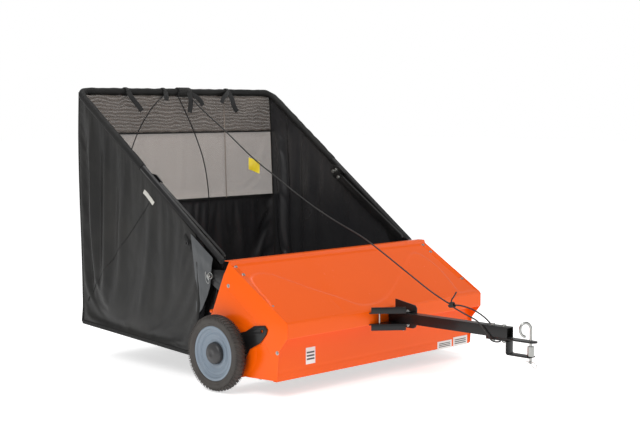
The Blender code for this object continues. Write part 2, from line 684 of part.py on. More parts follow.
def build_bracket():
    half = BAR_SIDE / 2
    build_bracket_iron("bracket_iron_upper", BAR_Z + half + IRON_THICK / 2 + GAP, 1)
    build_bracket_iron("bracket_iron_lower", BAR_Z - half - IRON_THICK / 2 - GAP, -1)
    cheek = [(-0.3176, 0.3060), (-0.3176, 0.2020), (-0.4060, 0.2020), (-0.4180, 0.2080),
             (-0.4230, 0.2200), (-0.4230, 0.2800), (-0.4150, 0.2900)]
    flat("bracket_cheek", cheek, [], IRON_THICK, BLACK, sweeper, (0.0214, 0, 0), SIDEWAYS)
    grip = BAR_SIDE + 2 * IRON_THICK + 4 * GAP
    top = BAR_Z + grip / 2
    bolt_down("bracket_bolt", (0, BOLT_Y, top), (0.0075, 0.0050), grip, BOLT_RADIUS,
              (0.0075, 0.0060), ZINC, sweeper)
    bolt_down("stay_bolt", (*STAY, top), (0.0060, 0.0040), grip, STAY_RADIUS,
              (0.0060, 0.0040), ZINC, sweeper)
    foot = -grip - 0.016
    pin = [(0, 0.0040), (0.0070, 0.0040), (0.0070, 0), (BOLT_RADIUS, 0), (BOLT_RADIUS, foot),
           (0, foot)]
    lock = turned("lock_pin", pin, 1, ZINC, sweeper, (0, LOCK_Y, top), 12)
    lock.rotation_euler = (0, 0, 0)
    low = BAR_Z - grip / 2 - 0.0060
    route = [(-0.0055, LOCK_Y + 0.018, low), (-0.0056, LOCK_Y, low - 0.0005),
             (-0.0055, LOCK_Y - 0.012, low - 0.002), (-0.0040, LOCK_Y - 0.022, low - 0.010),
             (-0.0040, LOCK_Y - 0.018, low - 0.020), (-0.0050, LOCK_Y - 0.008, low - 0.022),
             (-0.0060, LOCK_Y + 0.002, low - 0.012), (-0.0065, LOCK_Y + 0.010, low - 0.006)]
    tube("lock_clip", smooth(route, 0.005), CLIP_WIRE, ZINC, sweeper, 2)


def strap_outline(rear, front, count=8):
    """Strap with a round front end, as an (X, Y) outline."""
    half = STRAP_WIDTH / 2
    centre = front + half
    outline = [(half, rear), (-half, rear)]
    for step in range(count + 1):
        a = math.pi + math.pi * step / count
        outline.append((half * math.cos(a), centre + half * math.sin(a)))
    return outline


def build_clevis():
    under = BAR_Z - BAR_SIDE / 2 - GAP
    upper_mid = under - STRAP_THICK / 2
    hitch_hole = circle((0, HITCH_Y), HITCH_PIN_RADIUS + GAP, 16)
    bolt_holes = [circle((0, y), BOLT_HOLE, 12) for y in CLEVIS_BOLT_Y]
    flat("clevis_strap_upper", strap_outline(STRAP_REAR, STRAP_FRONT), [hitch_hole] + bolt_holes,
         STRAP_THICK, BLACK, sweeper, (0, 0, upper_mid), LEVEL)
    seat = upper_mid - STRAP_THICK / 2 - GAP
    floor = seat - JAW_HEIGHT
    corners = [(0, STRAP_REAR, seat), (0, EAR_REAR, seat), (0, EAR_REAR, floor),
               (0, EAR_FRONT, floor)]
    bends = arc_points(*corners[:3], 0.009, 3) + arc_points(*corners[1:], 0.004, 3)
    line = [corners[0][1:]] + [tuple(p.yz) for p in bends] + [corners[3][1:]]
    inside = offset_line(line, STRAP_THICK)
    strap = to_mesh(bent_sheet("clevis_strap_lower", line, inside, -STRAP_WIDTH / 2,
                               STRAP_WIDTH / 2, BLACK, sweeper))
    for y in CLEVIS_BOLT_Y:
        drill(strap, (0, y, seat), BOLT_HOLE, 6 * STRAP_THICK)
    drill(strap, (0, HITCH_Y, floor), HITCH_PIN_RADIUS + GAP, 6 * STRAP_THICK)
    return seat, floor


def build_hitch_pin(seat, floor):
    """Pin bent from one rod, its top curled into a loop handle."""
    top = seat + 0.0450
    lean = Vector((-0.75, 0.66, 0))
    ring = []
    radius = 0.0190
    for degrees in range(0, 271, 18):
        a = math.radians(degrees)
        out = radius - radius * math.cos(a)
        ring.append(Vector((0, HITCH_Y, top)) + lean * out
                    + Vector((0, 0, 1.25 * radius * math.sin(a))))
    path = [Vector((0, HITCH_Y, floor - 0.0260)), Vector((0, HITCH_Y, floor)),
            Vector((0, HITCH_Y, seat))] + ring
    path.append(Vector((0, HITCH_Y, seat + 0.0150)) + lean * 0.0125)
    tube("hitch_pin", path, HITCH_PIN_RADIUS, ZINC, hitch, 2)
    bore = HITCH_PIN_RADIUS + GAP
    low = floor + GAP
    high = low + 0.0340
    profile = [(0.0120, high), (0.0120, low), (bore, low), (bore, high)]
    sleeve = turned("hitch_spacer", profile, 1, ZINC, sweeper, (0, HITCH_Y, 0), 24, True)
    sleeve.rotation_euler = (0, 0, 0)
    level = floor - 0.0180
    side = 0.0060
    bend = [(0, 0.022, 0), (0, 0, 0), (0, -0.014, -0.0005), (0, -0.028, -0.006),
            (0, -0.032, -0.014), (0, -0.024, -0.022), (0, -0.012, -0.016),
            (-0.001, -0.002, -0.007), (-0.001, 0.010, -0.005)]
    route = [(-side + u, HITCH_Y + v, level + w) for u, v, w in bend]
    tube("hitch_clip", smooth(route, 0.006), CLIP_WIRE, ZINC, hitch, 2)


def build_clevis_bolts(seat):
    top = BAR_Z + BAR_SIDE / 2 + GAP
    grip = top - (seat - STRAP_THICK) + GAP
    for name, y in zip(("clevis_bolt_rear", "clevis_bolt_front"), CLEVIS_BOLT_Y):
        bolt_down(name, (0, y, top), (0.0075, 0.0045), grip, BOLT_RADIUS, (0.0075, 0.0060),
                  ZINC, sweeper)


# ---------------------------------------------------------------- pull rope
ROPE_ROUTE = [(0.040, 0.888, 1.066), (0.036, 0.790, 1.004), (0.026, 0.640, 0.920),
              (0.014, 0.470, 0.820), (0.006, 0.320, 0.744), (0.000, 0.140, 0.654),
              (-0.004, -0.010, 0.590), (-0.008, -0.170, 0.532), (-0.012, -0.280, 0.480),
              (-0.014, -0.390, 0.423), (-0.016, -0.510, 0.361), (-0.018, -0.590, 0.327),
              (-0.018, -0.622, 0.319), (-0.010, -0.660, 0.317), (0.004, -0.700, 0.305),
              (0.018, -0.735, 0.283), (0.0255, -0.762, 0.258), (0.0260, -0.788, 0.230),
              (0.0245, -0.804, 0.2125), (0.0110, -0.8130, 0.2068), (-0.0110, -0.8130, 0.2068),
              (-0.0250, -0.801, 0.2130), (-0.0265, -0.785, 0.232), (-0.0260, -0.760, 0.256),
              (-0.0250, -0.735, 0.275), (-0.0260, -0.695, 0.289), (-0.0270, -0.655, 0.303),
              (-0.0270, -0.630, 0.314), (-0.0200, -0.618, 0.332), (-0.0200, -0.630, 0.350),
              (-0.0200, -0.640, 0.366)]


def build_rope():
    tube("pull_rope", smooth(ROPE_ROUTE, 0.026), ROPE_RADIUS, ROPE, sweeper, 2)


# ---------------------------------------------------------------- assembly
build_hood()
for which in (-1, 1):
    build_side_plate(which)
    build_bearing(which)
    build_pivot_bracket(which)
    build_pivot_pin(which)
    build_carrier(which)
    build_height_bolt(which)
    build_axle(which)
    build_wheel(which)
    build_pinion(which)
    build_arm(which)
    build_upright(which)
    build_arm_bracket(which)
build_brush()
build_frames()
build_bag()
build_rods()
build_tow_bar()
build_bracket()
strap_seat, jaw_floor = build_clevis()
build_hitch_pin(strap_seat, jaw_floor)
build_clevis_bolts(strap_seat)
build_rope()
bpy.context.view_layer.update()
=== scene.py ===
# %% [markdown]
# # A tow-behind lawn sweeper
# The machine has a painted steel housing with a brush inside, two wheels that drive the
# brush, a tow bar with a clevis, and a fabric hopper on bent tubes. The solid model is
# loaded first and stays where it is. Every visible surface is then made finer than the
# solids: pressed sheet, moulded tyres, sewn cloth, rope and real fasteners.

# %% Load the solid model
import json
import math
import random

import bmesh
import bpy
import numpy as np
from mathutils import Matrix, Vector, noise

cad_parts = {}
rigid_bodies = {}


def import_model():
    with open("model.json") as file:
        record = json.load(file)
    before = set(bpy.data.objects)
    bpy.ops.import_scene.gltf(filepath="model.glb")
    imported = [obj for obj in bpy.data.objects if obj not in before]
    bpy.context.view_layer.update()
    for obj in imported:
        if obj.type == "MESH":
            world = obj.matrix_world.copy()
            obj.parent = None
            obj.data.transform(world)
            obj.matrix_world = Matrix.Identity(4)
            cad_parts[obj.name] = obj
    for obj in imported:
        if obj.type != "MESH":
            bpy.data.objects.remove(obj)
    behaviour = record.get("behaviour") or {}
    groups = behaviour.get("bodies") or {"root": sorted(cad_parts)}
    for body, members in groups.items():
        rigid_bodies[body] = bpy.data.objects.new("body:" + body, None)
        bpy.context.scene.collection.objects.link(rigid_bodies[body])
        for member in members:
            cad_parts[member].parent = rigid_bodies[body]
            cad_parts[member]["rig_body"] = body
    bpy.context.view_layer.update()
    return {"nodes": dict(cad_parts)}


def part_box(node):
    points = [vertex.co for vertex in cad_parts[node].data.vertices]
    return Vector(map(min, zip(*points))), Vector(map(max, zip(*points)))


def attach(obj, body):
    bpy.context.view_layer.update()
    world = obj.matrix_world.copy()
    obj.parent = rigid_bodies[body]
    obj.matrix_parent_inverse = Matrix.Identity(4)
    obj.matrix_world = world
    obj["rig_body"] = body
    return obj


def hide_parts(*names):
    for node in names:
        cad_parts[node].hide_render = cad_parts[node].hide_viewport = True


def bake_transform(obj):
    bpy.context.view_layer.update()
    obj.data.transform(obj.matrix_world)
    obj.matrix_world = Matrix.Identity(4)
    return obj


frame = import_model()
NODES = frame["nodes"]

# %% [markdown]
# Places on the machine are easiest to give from the wheel axle: `at(x, y, z)` takes a
# distance across, a distance behind the axle and a height, and gives a point in the
# model's own frame. The axle's own place is read from the tyre's box.

# %% Places measured from the axle
tyre_low, tyre_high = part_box("tyre_left")
AXLE_Y = (tyre_low.y + tyre_high.y) / 2
AXLE_Z = (tyre_low.z + tyre_high.z) / 2
TYRE_RADIUS = (tyre_high.y - tyre_low.y) / 2
HOOD_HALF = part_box("hood")[1].x
PLATE_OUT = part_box("side_plate_right")[1].x
BAG_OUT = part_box("bag_side_right")[1].x
SIDES = ((-1, "left"), (1, "right"))


def at(x, y, z):
    return Vector((x, y + AXLE_Y, z))


def middle_of(node_name):
    """Middle of a solid as a distance behind the axle and a height."""
    low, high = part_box(node_name)
    return (low.y + high.y) / 2 - AXLE_Y, (low.z + high.z) / 2


# %% [markdown]
# The camera stands low, in front and to the left of the machine, with a longish lens, so
# that the hopper's mouth and the long slope of the hood both show. Azimuth and elevation
# give its direction; the rotation turns a camera that looks straight down to look level.

# %% Camera
CAMERA_AZIMUTH = math.radians(-45.73)
CAMERA_ELEVATION = math.radians(4.625)
lens = bpy.data.cameras.new("camera")
lens.lens = 74.47
lens.sensor_width = 36.0
lens.clip_end = 60
camera = bpy.data.objects.new("camera", lens)
camera.location = at(-3.7156, -3.5631, 1.0265)
camera.rotation_euler = (math.pi / 2 - CAMERA_ELEVATION, 0, CAMERA_AZIMUTH)
bpy.context.scene.collection.objects.link(camera)
bpy.context.scene.camera = camera

# %% [markdown]
# A studio shot of a black and orange machine needs a very pale floor that runs into a
# pale world, one broad light from the camera's left, a weak one from the right and one
# from above.

# %% Floor, world and lights


def plain_material(name, colour, roughness):
    made = bpy.data.materials.new(name)
    made.use_nodes = True
    shader = made.node_tree.nodes["Principled BSDF"]
    shader.inputs["Base Color"].default_value = (*colour, 1)
    shader.inputs["Roughness"].default_value = roughness
    return made


floor_mesh = bpy.data.meshes.new("studio_floor")
floor_shape = bmesh.new()
bmesh.ops.create_grid(floor_shape, x_segments=1, y_segments=1, size=30)
floor_shape.to_mesh(floor_mesh)
floor_shape.free()
floor_look = plain_material("studio_floor", (0.93, 0.93, 0.93), 0.9)
floor_shader = floor_look.node_tree.nodes["Principled BSDF"]
floor_shader.inputs["Emission Color"].default_value = (1, 1, 1, 1)
floor_shader.inputs["Emission Strength"].default_value = 0.60
floor_mesh.materials.append(floor_look)
studio_floor = bpy.data.objects.new("studio_floor", floor_mesh)
studio_floor.location = (0, 0, -0.0015)
bpy.context.scene.collection.objects.link(studio_floor)

world = bpy.data.worlds.new("studio")
world.use_nodes = True
backdrop = world.node_tree.nodes["Background"]
backdrop.inputs["Color"].default_value = (1, 1, 1, 1)
seen = world.node_tree.nodes.new("ShaderNodeLightPath")
strength = world.node_tree.nodes.new("ShaderNodeMapRange")
strength.inputs["To Min"].default_value = 0.50
strength.inputs["To Max"].default_value = 1.00
world.node_tree.links.new(seen.outputs["Is Camera Ray"], strength.inputs["Value"])
world.node_tree.links.new(strength.outputs["Result"], backdrop.inputs["Strength"])
bpy.context.scene.world = world
bpy.context.scene.view_settings.view_transform = "Standard"


def area_light(name, place, aim, size, power):
    data = bpy.data.lights.new(name, "AREA")
    data.shape = "RECTANGLE"
    data.size, data.size_y = size
    data.energy = power
    light = bpy.data.objects.new(name, data)
    light.location = place
    light.rotation_euler = (Vector(aim) - Vector(place)).to_track_quat("-Z", "Y").to_euler()
    bpy.context.scene.collection.objects.link(light)


area_light("key_light", (-3.7, -1.3, 3.5), (0, 0, 0.4), (2.2, 2.2), 95)
area_light("fill_light", (3.4, -2.6, 2.2), (0, 0, 0.4), (2.5, 2.0), 22)
area_light("top_light", (0.2, 1.2, 4.2), (0, 0.2, 0.4), (3.0, 2.0), 50)

# %% [markdown]
# ## Shared shader effects
# The same few effects appear on many finishes: a fine grain, patches of dust and scuffs,
# and a plain weave. Each is a node group with named inputs, built once. A group gives
# only a value or a mask, and the shader that uses it stays in the material.

# %% Node helpers


def node(tree, kind, inputs=None, **settings):
    made = tree.nodes.new(kind)
    for name, value in settings.items():
        setattr(made, name, value)
    for name, value in (inputs or {}).items():
        if isinstance(value, bpy.types.NodeSocket):
            tree.links.new(value, made.inputs[name])
        else:
            made.inputs[name].default_value = value
    return made


def shader_group(name, inputs, outputs):
    """An empty group with float or vector sockets, its input node and output node."""
    tree = bpy.data.node_groups.new(name, "ShaderNodeTree")
    for label, kind, value in inputs:
        socket = tree.interface.new_socket(label, in_out="INPUT", socket_type=kind)
        if value is not None:
            socket.default_value = value
    for label, kind in outputs:
        tree.interface.new_socket(label, in_out="OUTPUT", socket_type=kind)
    return tree, tree.nodes.new("NodeGroupInput"), tree.nodes.new("NodeGroupOutput")


def arithmetic(tree, operation, first, second, clamp=False):
    made = tree.nodes.new("ShaderNodeMath")
    made.operation = operation
    made.use_clamp = clamp
    for socket, value in zip(made.inputs, (first, second)):
        if isinstance(value, bpy.types.NodeSocket):
            tree.links.new(value, socket)
        else:
            socket.default_value = value
    return made.outputs[0]


# %% Grain: the tiny uneven surface of paint, rubber and moulded plastic
GRAIN, grain_in, grain_out = shader_group(
    "Fine grain",
    [("Vector", "NodeSocketVector", None), ("Scale", "NodeSocketFloat", 900.0),
     ("Unevenness", "NodeSocketFloat", 0.35)],
    [("Height", "NodeSocketFloat")])
fine = node(GRAIN, "ShaderNodeTexNoise", {"Vector": grain_in.outputs["Vector"],
                                          "Scale": grain_in.outputs["Scale"],
                                          "Detail": 2.0})
broad_scale = arithmetic(GRAIN, "MULTIPLY", grain_in.outputs["Scale"], 0.08)
broad = node(GRAIN, "ShaderNodeTexNoise", {"Vector": grain_in.outputs["Vector"],
                                           "Scale": broad_scale, "Detail": 2.0})
swell = arithmetic(GRAIN, "MULTIPLY", broad.outputs["Fac"], grain_in.outputs["Unevenness"])
GRAIN.links.new(arithmetic(GRAIN, "ADD", fine.outputs["Fac"], swell), grain_out.inputs[0])

# %% Wear: soft patches of dust with short scuffs in them
WEAR, wear_in, wear_out = shader_group(
    "Dust and scuffs",
    [("Vector", "NodeSocketVector", None), ("Patch size", "NodeSocketFloat", 6.0),
     ("Amount", "NodeSocketFloat", 0.4)],
    [("Dust", "NodeSocketFloat"), ("Scuffs", "NodeSocketFloat")])
patch = node(WEAR, "ShaderNodeTexNoise", {"Vector": wear_in.outputs["Vector"],
                                          "Scale": wear_in.outputs["Patch size"],
                                          "Detail": 6.0, "Roughness": 0.62})
soft = node(WEAR, "ShaderNodeMapRange", {"Value": patch.outputs["Fac"], "From Min": 0.42,
                                         "From Max": 0.75})
dust = arithmetic(WEAR, "MULTIPLY", soft.outputs["Result"], wear_in.outputs["Amount"])
WEAR.links.new(dust, wear_out.inputs["Dust"])
stretch = node(WEAR, "ShaderNodeMapping", {"Vector": wear_in.outputs["Vector"],
                                           "Scale": (260.0, 30.0, 160.0)})
scratch = node(WEAR, "ShaderNodeTexNoise", {"Vector": stretch.outputs["Vector"],
                                            "Scale": 1.0, "Detail": 3.0})
sharp = node(WEAR, "ShaderNodeMapRange", {"Value": scratch.outputs["Fac"],
                                          "From Min": 0.66, "From Max": 0.74})
scuffs = arithmetic(WEAR, "MULTIPLY", sharp.outputs["Result"], soft.outputs["Result"])
WEAR.links.new(scuffs, wear_out.inputs["Scuffs"])

# %% Weave: over-and-under threads on a cloth's own flat coordinates
WEAVE, weave_in, weave_out = shader_group(
    "Plain weave",
    [("Vector", "NodeSocketVector", None), ("Threads per metre", "NodeSocketFloat", 900.0)],
    [("Height", "NodeSocketFloat"), ("Gaps", "NodeSocketFloat")])
flat_place = node(WEAVE, "ShaderNodeSeparateXYZ", {"Vector": weave_in.outputs["Vector"]})


def thread_wave(axis):
    turns = arithmetic(WEAVE, "MULTIPLY", flat_place.outputs[axis],
                       weave_in.outputs["Threads per metre"])
    angle = arithmetic(WEAVE, "MULTIPLY", turns, math.pi)
    return arithmetic(WEAVE, "ABSOLUTE", arithmetic(WEAVE, "SINE", angle, 0.0), 0.0)


warp, weft = thread_wave("X"), thread_wave("Y")
WEAVE.links.new(arithmetic(WEAVE, "MAXIMUM", warp, weft), weave_out.inputs["Height"])
WEAVE.links.new(arithmetic(WEAVE, "MULTIPLY", warp, weft), weave_out.inputs["Gaps"])

# %% [markdown]
# ## Finishes
# A finish starts from the Principled shader with its constants on its own sockets. The
# helper below adds what most of them share: a colour that wanders between two close
# shades, a dusty film, and a bump from the grain group.

# %% A finish that most materials start from


def finish(name, colour, shade, roughness, grain=(900.0, 0.03), dust=(6.0, 0.15), metal=0.0,
           coat=0.0, mirror=0.5, coordinates="Object"):
    """Material with two close colours, dust, scuffs and grain; mirror is its reflection."""
    made = bpy.data.materials.new(name)
    made.use_nodes = True
    tree = made.node_tree
    shader = tree.nodes["Principled BSDF"]
    place = tree.nodes.new("ShaderNodeTexCoord").outputs[coordinates]
    wear = node(tree, "ShaderNodeGroup", node_tree=WEAR)
    tree.links.new(place, wear.inputs["Vector"])
    wear.inputs["Patch size"].default_value, wear.inputs["Amount"].default_value = dust
    wander = node(tree, "ShaderNodeTexNoise", {"Vector": place, "Scale": 3.0, "Detail": 4.0})
    base = node(tree, "ShaderNodeMix", {"Factor": wander.outputs["Fac"]}, data_type="RGBA")
    base.inputs["A"].default_value = (*colour, 1)
    base.inputs["B"].default_value = (*shade, 1)
    dusty = node(tree, "ShaderNodeMix", {"Factor": wear.outputs["Dust"]}, data_type="RGBA")
    tree.links.new(base.outputs["Result"], dusty.inputs["A"])
    film = [0.72 * value + 0.28 * level for value, level in zip(colour, (0.42, 0.39, 0.34))]
    dusty.inputs["B"].default_value = (*film, 1)
    tree.links.new(dusty.outputs["Result"], shader.inputs["Base Color"])
    rough = arithmetic(tree, "MULTIPLY", wear.outputs["Dust"], 0.5)
    rough = arithmetic(tree, "ADD", rough, roughness)
    scuffed = arithmetic(tree, "MULTIPLY", wear.outputs["Scuffs"], 0.10)
    rough = arithmetic(tree, "ADD", rough, scuffed, clamp=True)
    tree.links.new(rough, shader.inputs["Roughness"])
    shader.inputs["Metallic"].default_value = metal
    shader.inputs["Specular IOR Level"].default_value = mirror
    shader.inputs["Coat Weight"].default_value = coat
    shader.inputs["Coat Roughness"].default_value = 0.12
    fine_grain = node(tree, "ShaderNodeGroup", node_tree=GRAIN)
    tree.links.new(place, fine_grain.inputs["Vector"])
    fine_grain.inputs["Scale"].default_value = grain[0]
    bump = node(tree, "ShaderNodeBump", {"Strength": grain[1] * 10, "Distance": 0.0004,
                                         "Height": fine_grain.outputs["Height"]})
    tree.links.new(bump.outputs["Normal"], shader.inputs["Normal"])
    return made


# %% Paint, metal, rubber and plastic
ORANGE = finish("orange_paint", (0.88, 0.110, 0.0010), (0.83, 0.100, 0.0010), 0.24,
                grain=(420.0, 0.012), dust=(5.0, 0.01), mirror=0.22)
BLACK = finish("black_paint", (0.006, 0.006, 0.0065), (0.010, 0.0095, 0.0095), 0.30,
               grain=(1500.0, 0.03), dust=(9.0, 0.04), coat=0.15, mirror=0.26)
ZINC = finish("zinc_plate", (0.42, 0.43, 0.42), (0.34, 0.34, 0.32), 0.26,
              grain=(700.0, 0.02), dust=(30.0, 0.25), metal=1.0)
RUBBER = finish("tyre_rubber", (0.022, 0.021, 0.020), (0.045, 0.036, 0.030), 0.62,
                grain=(1200.0, 0.06), dust=(18.0, 0.30))
RIM_PLASTIC = finish("rim_plastic", (0.20, 0.25, 0.30), (0.17, 0.21, 0.26), 0.42,
                     grain=(1400.0, 0.03), dust=(12.0, 0.12))
CAP_PLASTIC = finish("cap_plastic", (0.016, 0.016, 0.018), (0.024, 0.024, 0.026), 0.38,
                     grain=(1400.0, 0.05), dust=(14.0, 0.10))
BRISTLE = finish("bristle_nylon", (0.010, 0.010, 0.011), (0.018, 0.018, 0.018), 0.45,
                 grain=(900.0, 0.03), dust=(9.0, 0.08))
NYLON = finish("bearing_nylon", (0.50, 0.49, 0.45), (0.44, 0.42, 0.38), 0.40)
LABEL = finish("label_film", (0.80, 0.80, 0.78), (0.76, 0.76, 0.73), 0.35, dust=(20.0, 0.15))
LABEL_INK = finish("label_ink", (0.035, 0.035, 0.04), (0.05, 0.05, 0.05), 0.45)
TAG = finish("tag_film", (0.85, 0.66, 0.012), (0.78, 0.58, 0.010), 0.30, coat=0.3)

# %% [markdown]
# Cloth reads its own UV map, whose unit is one metre of cloth, so the threads keep one
# size and follow every fold. The hopper's coated cloth is matt outside and shines inside,
# and it mirrors less than bare plastic or metal.

# %% Cloth and rope


def flat_coordinates(tree):
    return next(n for n in tree.nodes if n.type == "TEX_COORD").outputs["UV"]


def weave_node(tree, place, threads):
    weave = node(tree, "ShaderNodeGroup", {}, name="weave", node_tree=WEAVE)
    tree.links.new(place, weave.inputs["Vector"])
    weave.inputs["Threads per metre"].default_value = threads
    return weave


def cloth(name, colour, shade, roughness, threads, relief, sheen=0.0, mirror=0.5):
    made = finish(name, colour, shade, roughness, dust=(4.0, 0.10), mirror=mirror,
                  coordinates="UV")
    tree = made.node_tree
    shader = tree.nodes["Principled BSDF"]
    weave = weave_node(tree, flat_coordinates(tree), threads)
    bump = node(tree, "ShaderNodeBump", {"Strength": relief, "Distance": 0.0006,
                                         "Height": weave.outputs["Height"]})
    tree.links.new(bump.outputs["Normal"], shader.inputs["Normal"])
    shader.inputs["Sheen Weight"].default_value = sheen
    return made


VINYL = cloth("coated_cloth_outside", (0.0065, 0.0064, 0.0060), (0.0100, 0.0097, 0.0092),
              0.38, 520.0, 0.22, mirror=0.28)
FLAP_CLOTH = cloth("flap_cloth", (0.045, 0.049, 0.053), (0.056, 0.060, 0.064), 0.42, 520.0,
                   0.30)
VINYL_INSIDE = cloth("coated_cloth_inside", (0.0190, 0.0190, 0.0209),
                     (0.0285, 0.0285, 0.0304), 0.24, 520.0, 0.22)
WEBBING = cloth("webbing", (0.006, 0.006, 0.006), (0.011, 0.011, 0.011), 0.70, 900.0, 0.7,
                0.10)
BINDING = cloth("edge_binding", (0.005, 0.005, 0.005), (0.009, 0.0088, 0.0085), 0.60, 700.0,
                0.5, mirror=0.26)
THREAD = cloth("sewing_thread", (0.035, 0.034, 0.032), (0.05, 0.05, 0.05), 0.60, 3000.0, 0.3)


def net_cloth(name, colour, cover, moire=0.0):
    """Open mesh: the weave's gaps let light through, down to a least cover.
    Two layers together show a moving pattern of wavy bands, whose strength is moire."""
    made = cloth(name, colour, [1.2 * value for value in colour], 0.70, 420.0, 0.4)
    tree = made.node_tree
    weave = tree.nodes["weave"]
    open_share = node(tree, "ShaderNodeMapRange", {"Value": weave.outputs["Gaps"],
                                                   "From Min": 0.15, "From Max": 0.85,
                                                   "To Min": cover[1], "To Max": cover[0]})
    bands = node(tree, "ShaderNodeTexWave", {"Vector": flat_coordinates(tree), "Scale": 21.0,
                                             "Distortion": 9.0, "Detail": 2.5,
                                             "Detail Scale": 0.55}, bands_direction="Y")
    band_share = node(tree, "ShaderNodeMapRange", {"Value": bands.outputs["Fac"],
                                                   "To Min": -moire, "To Max": moire})
    cover_share = arithmetic(tree, "ADD", open_share.outputs["Result"],
                             band_share.outputs["Result"], clamp=True)
    tree.links.new(cover_share, tree.nodes["Principled BSDF"].inputs["Alpha"])
    return made


NET = net_cloth("mesh_cloth", (0.30, 0.245, 0.205), (0.44, 0.72))
# The double band is the same mesh with its colour scaled darker: painted shade for the light
# that the two layers hold back.
NET_DOUBLE_SHADED = net_cloth("mesh_cloth_double_shaded", (0.125, 0.102, 0.086), (0.34, 0.58), 0.26)


def braid_material():
    """Braided cover: two sets of strands that cross, on the cord's own UV map."""
    made = finish("rope_braid", (0.014, 0.014, 0.014), (0.026, 0.025, 0.024), 0.62,
                  dust=(5.0, 0.25), coordinates="UV")
    tree = made.node_tree
    spin = node(tree, "ShaderNodeMapping", {"Vector": flat_coordinates(tree),
                                            "Rotation": (0, 0, math.radians(45))})
    weave = weave_node(tree, spin.outputs["Vector"], 620.0)
    bump = node(tree, "ShaderNodeBump", {"Strength": 0.9, "Distance": 0.0008,
                                         "Height": weave.outputs["Height"]})
    tree.links.new(bump.outputs["Normal"], tree.nodes["Principled BSDF"].inputs["Normal"])
    return made


BRAID = braid_material()

# %% [markdown]
# ## Making meshes
# Most pieces are one of a few forms: a closed mesh from bmesh, a tube that follows a
# smooth path, a turned profile, or the solid model's own shape with its edges rounded.
# The helpers below make those, always at the origin with the place inside the mesh.

# %% Helpers for pieces


def piece_from(name, mesh, looks, body, smooth_angle=35):
    for look in looks:
        mesh.materials.append(look)
    made = bpy.data.objects.new(name, mesh)
    bpy.context.scene.collection.objects.link(made)
    if smooth_angle:
        mesh.shade_smooth()
        mesh.set_sharp_from_angle(angle=math.radians(smooth_angle))
    if body:
        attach(made, body)
    return made


def mesh_of(shape, name):
    mesh = bpy.data.meshes.new(name)
    shape.to_mesh(mesh)
    shape.free()
    return mesh


def settle(made):
    """Apply every modifier, so that the piece is a plain mesh."""
    bpy.context.view_layer.update()
    graph = bpy.context.evaluated_depsgraph_get()
    mesh = bpy.data.meshes.new_from_object(made.evaluated_get(graph), depsgraph=graph)
    made.modifiers.clear()
    made.data = mesh
    return made


def spline_points(points, spacing):
    """Even points on a smooth curve through the given ones (Catmull-Rom)."""
    knots = [Vector(p) for p in points]
    knots = [2 * knots[0] - knots[1]] + knots + [2 * knots[-1] - knots[-2]]
    path = []
    for a, b, c, d in zip(knots, knots[1:], knots[2:], knots[3:]):
        count = max(1, round((c - b).length / spacing))
        for step in range(count):
            t = step / count
            path.append(0.5 * (2 * b + (c - a) * t + (2 * a - 5 * b + 4 * c - d) * t ** 2
                               + (3 * b - a - 3 * c + d) * t ** 3))
    path.append(knots[-2])
    return path


def tube_mesh(path, radius, sides=16, squash=1.0, taper=None, up=None):
    """Closed tube along a path, with UVs in metres and flat ends."""
    shape = bmesh.new()
    uv = shape.loops.layers.uv.new("UVMap")
    rings = []
    along = [0.0]
    normal = None
    for index, point in enumerate(path):
        ahead = path[min(index + 1, len(path) - 1)] - path[max(index - 1, 0)]
        ahead.normalize()
        if normal is None:
            guess = up or (Vector((0, 0, 1)) if abs(ahead.z) < 0.9 else Vector((1, 0, 0)))
            normal = (guess - ahead * guess.dot(ahead)).normalized()
        else:
            normal = (normal - ahead * normal.dot(ahead)).normalized()
            along.append(along[-1] + (point - path[index - 1]).length)
        side = ahead.cross(normal)
        size = radius * (taper(index / (len(path) - 1)) if taper else 1.0)
        ring = []
        for step in range(sides):
            a = 2 * math.pi * step / sides
            ring.append(shape.verts.new(point + normal * size * squash * math.cos(a)
                                        + side * size * math.sin(a)))
        rings.append(ring)
    for index, (ring, after) in enumerate(zip(rings, rings[1:])):
        for step in range(sides):
            other = (step + 1) % sides
            face = shape.faces.new((ring[step], ring[other], after[other], after[step]))
            girth = 2 * math.pi * radius / sides
            spots = ((step * girth, along[index]), ((step + 1) * girth, along[index]),
                     ((step + 1) * girth, along[index + 1]), (step * girth, along[index + 1]))
            for loop, spot in zip(face.loops, spots):
                loop[uv].uv = spot
    shape.faces.new(rings[0][::-1])
    shape.faces.new(rings[-1])
    bmesh.ops.recalc_face_normals(shape, faces=shape.faces)
    return shape


def tube_piece(name, path, radius, look, body, sides=16, **more):
    shape = tube_mesh([Vector(p) for p in path], radius, sides, **more)
    return piece_from(name, mesh_of(shape, name), [look], body, 50)


def turned_mesh(profile, centre, axis, steps=64, closed=False):
    """Mesh of revolution: profile points are (radius, distance along the axis)."""
    axis = Vector(axis).normalized()
    guess = Vector((0, 0, 1)) if abs(axis.z) < 0.9 else Vector((0, 1, 0))
    first = axis.cross(guess).normalized()
    second = axis.cross(first)
    shape = bmesh.new()
    rings = []
    for radius, out in profile:
        middle = Vector(centre) + axis * out
        if radius < 1e-6:
            rings.append([shape.verts.new(middle)])
            continue
        rings.append([shape.verts.new(middle + radius * (math.cos(a) * first
                                                         + math.sin(a) * second))
                      for a in [2 * math.pi * s / steps for s in range(steps)]])
    pairs = list(zip(rings, rings[1:]))
    if closed:
        pairs.append((rings[-1], rings[0]))
    for ring, after in pairs:
        for step in range(steps):
            other = (step + 1) % steps
            corners = [ring[step % len(ring)], ring[other % len(ring)],
                       after[other % len(after)], after[step % len(after)]]
            corners = list(dict.fromkeys(corners))
            if len(corners) > 2:
                shape.faces.new(corners)
    bmesh.ops.recalc_face_normals(shape, faces=shape.faces)
    return shape


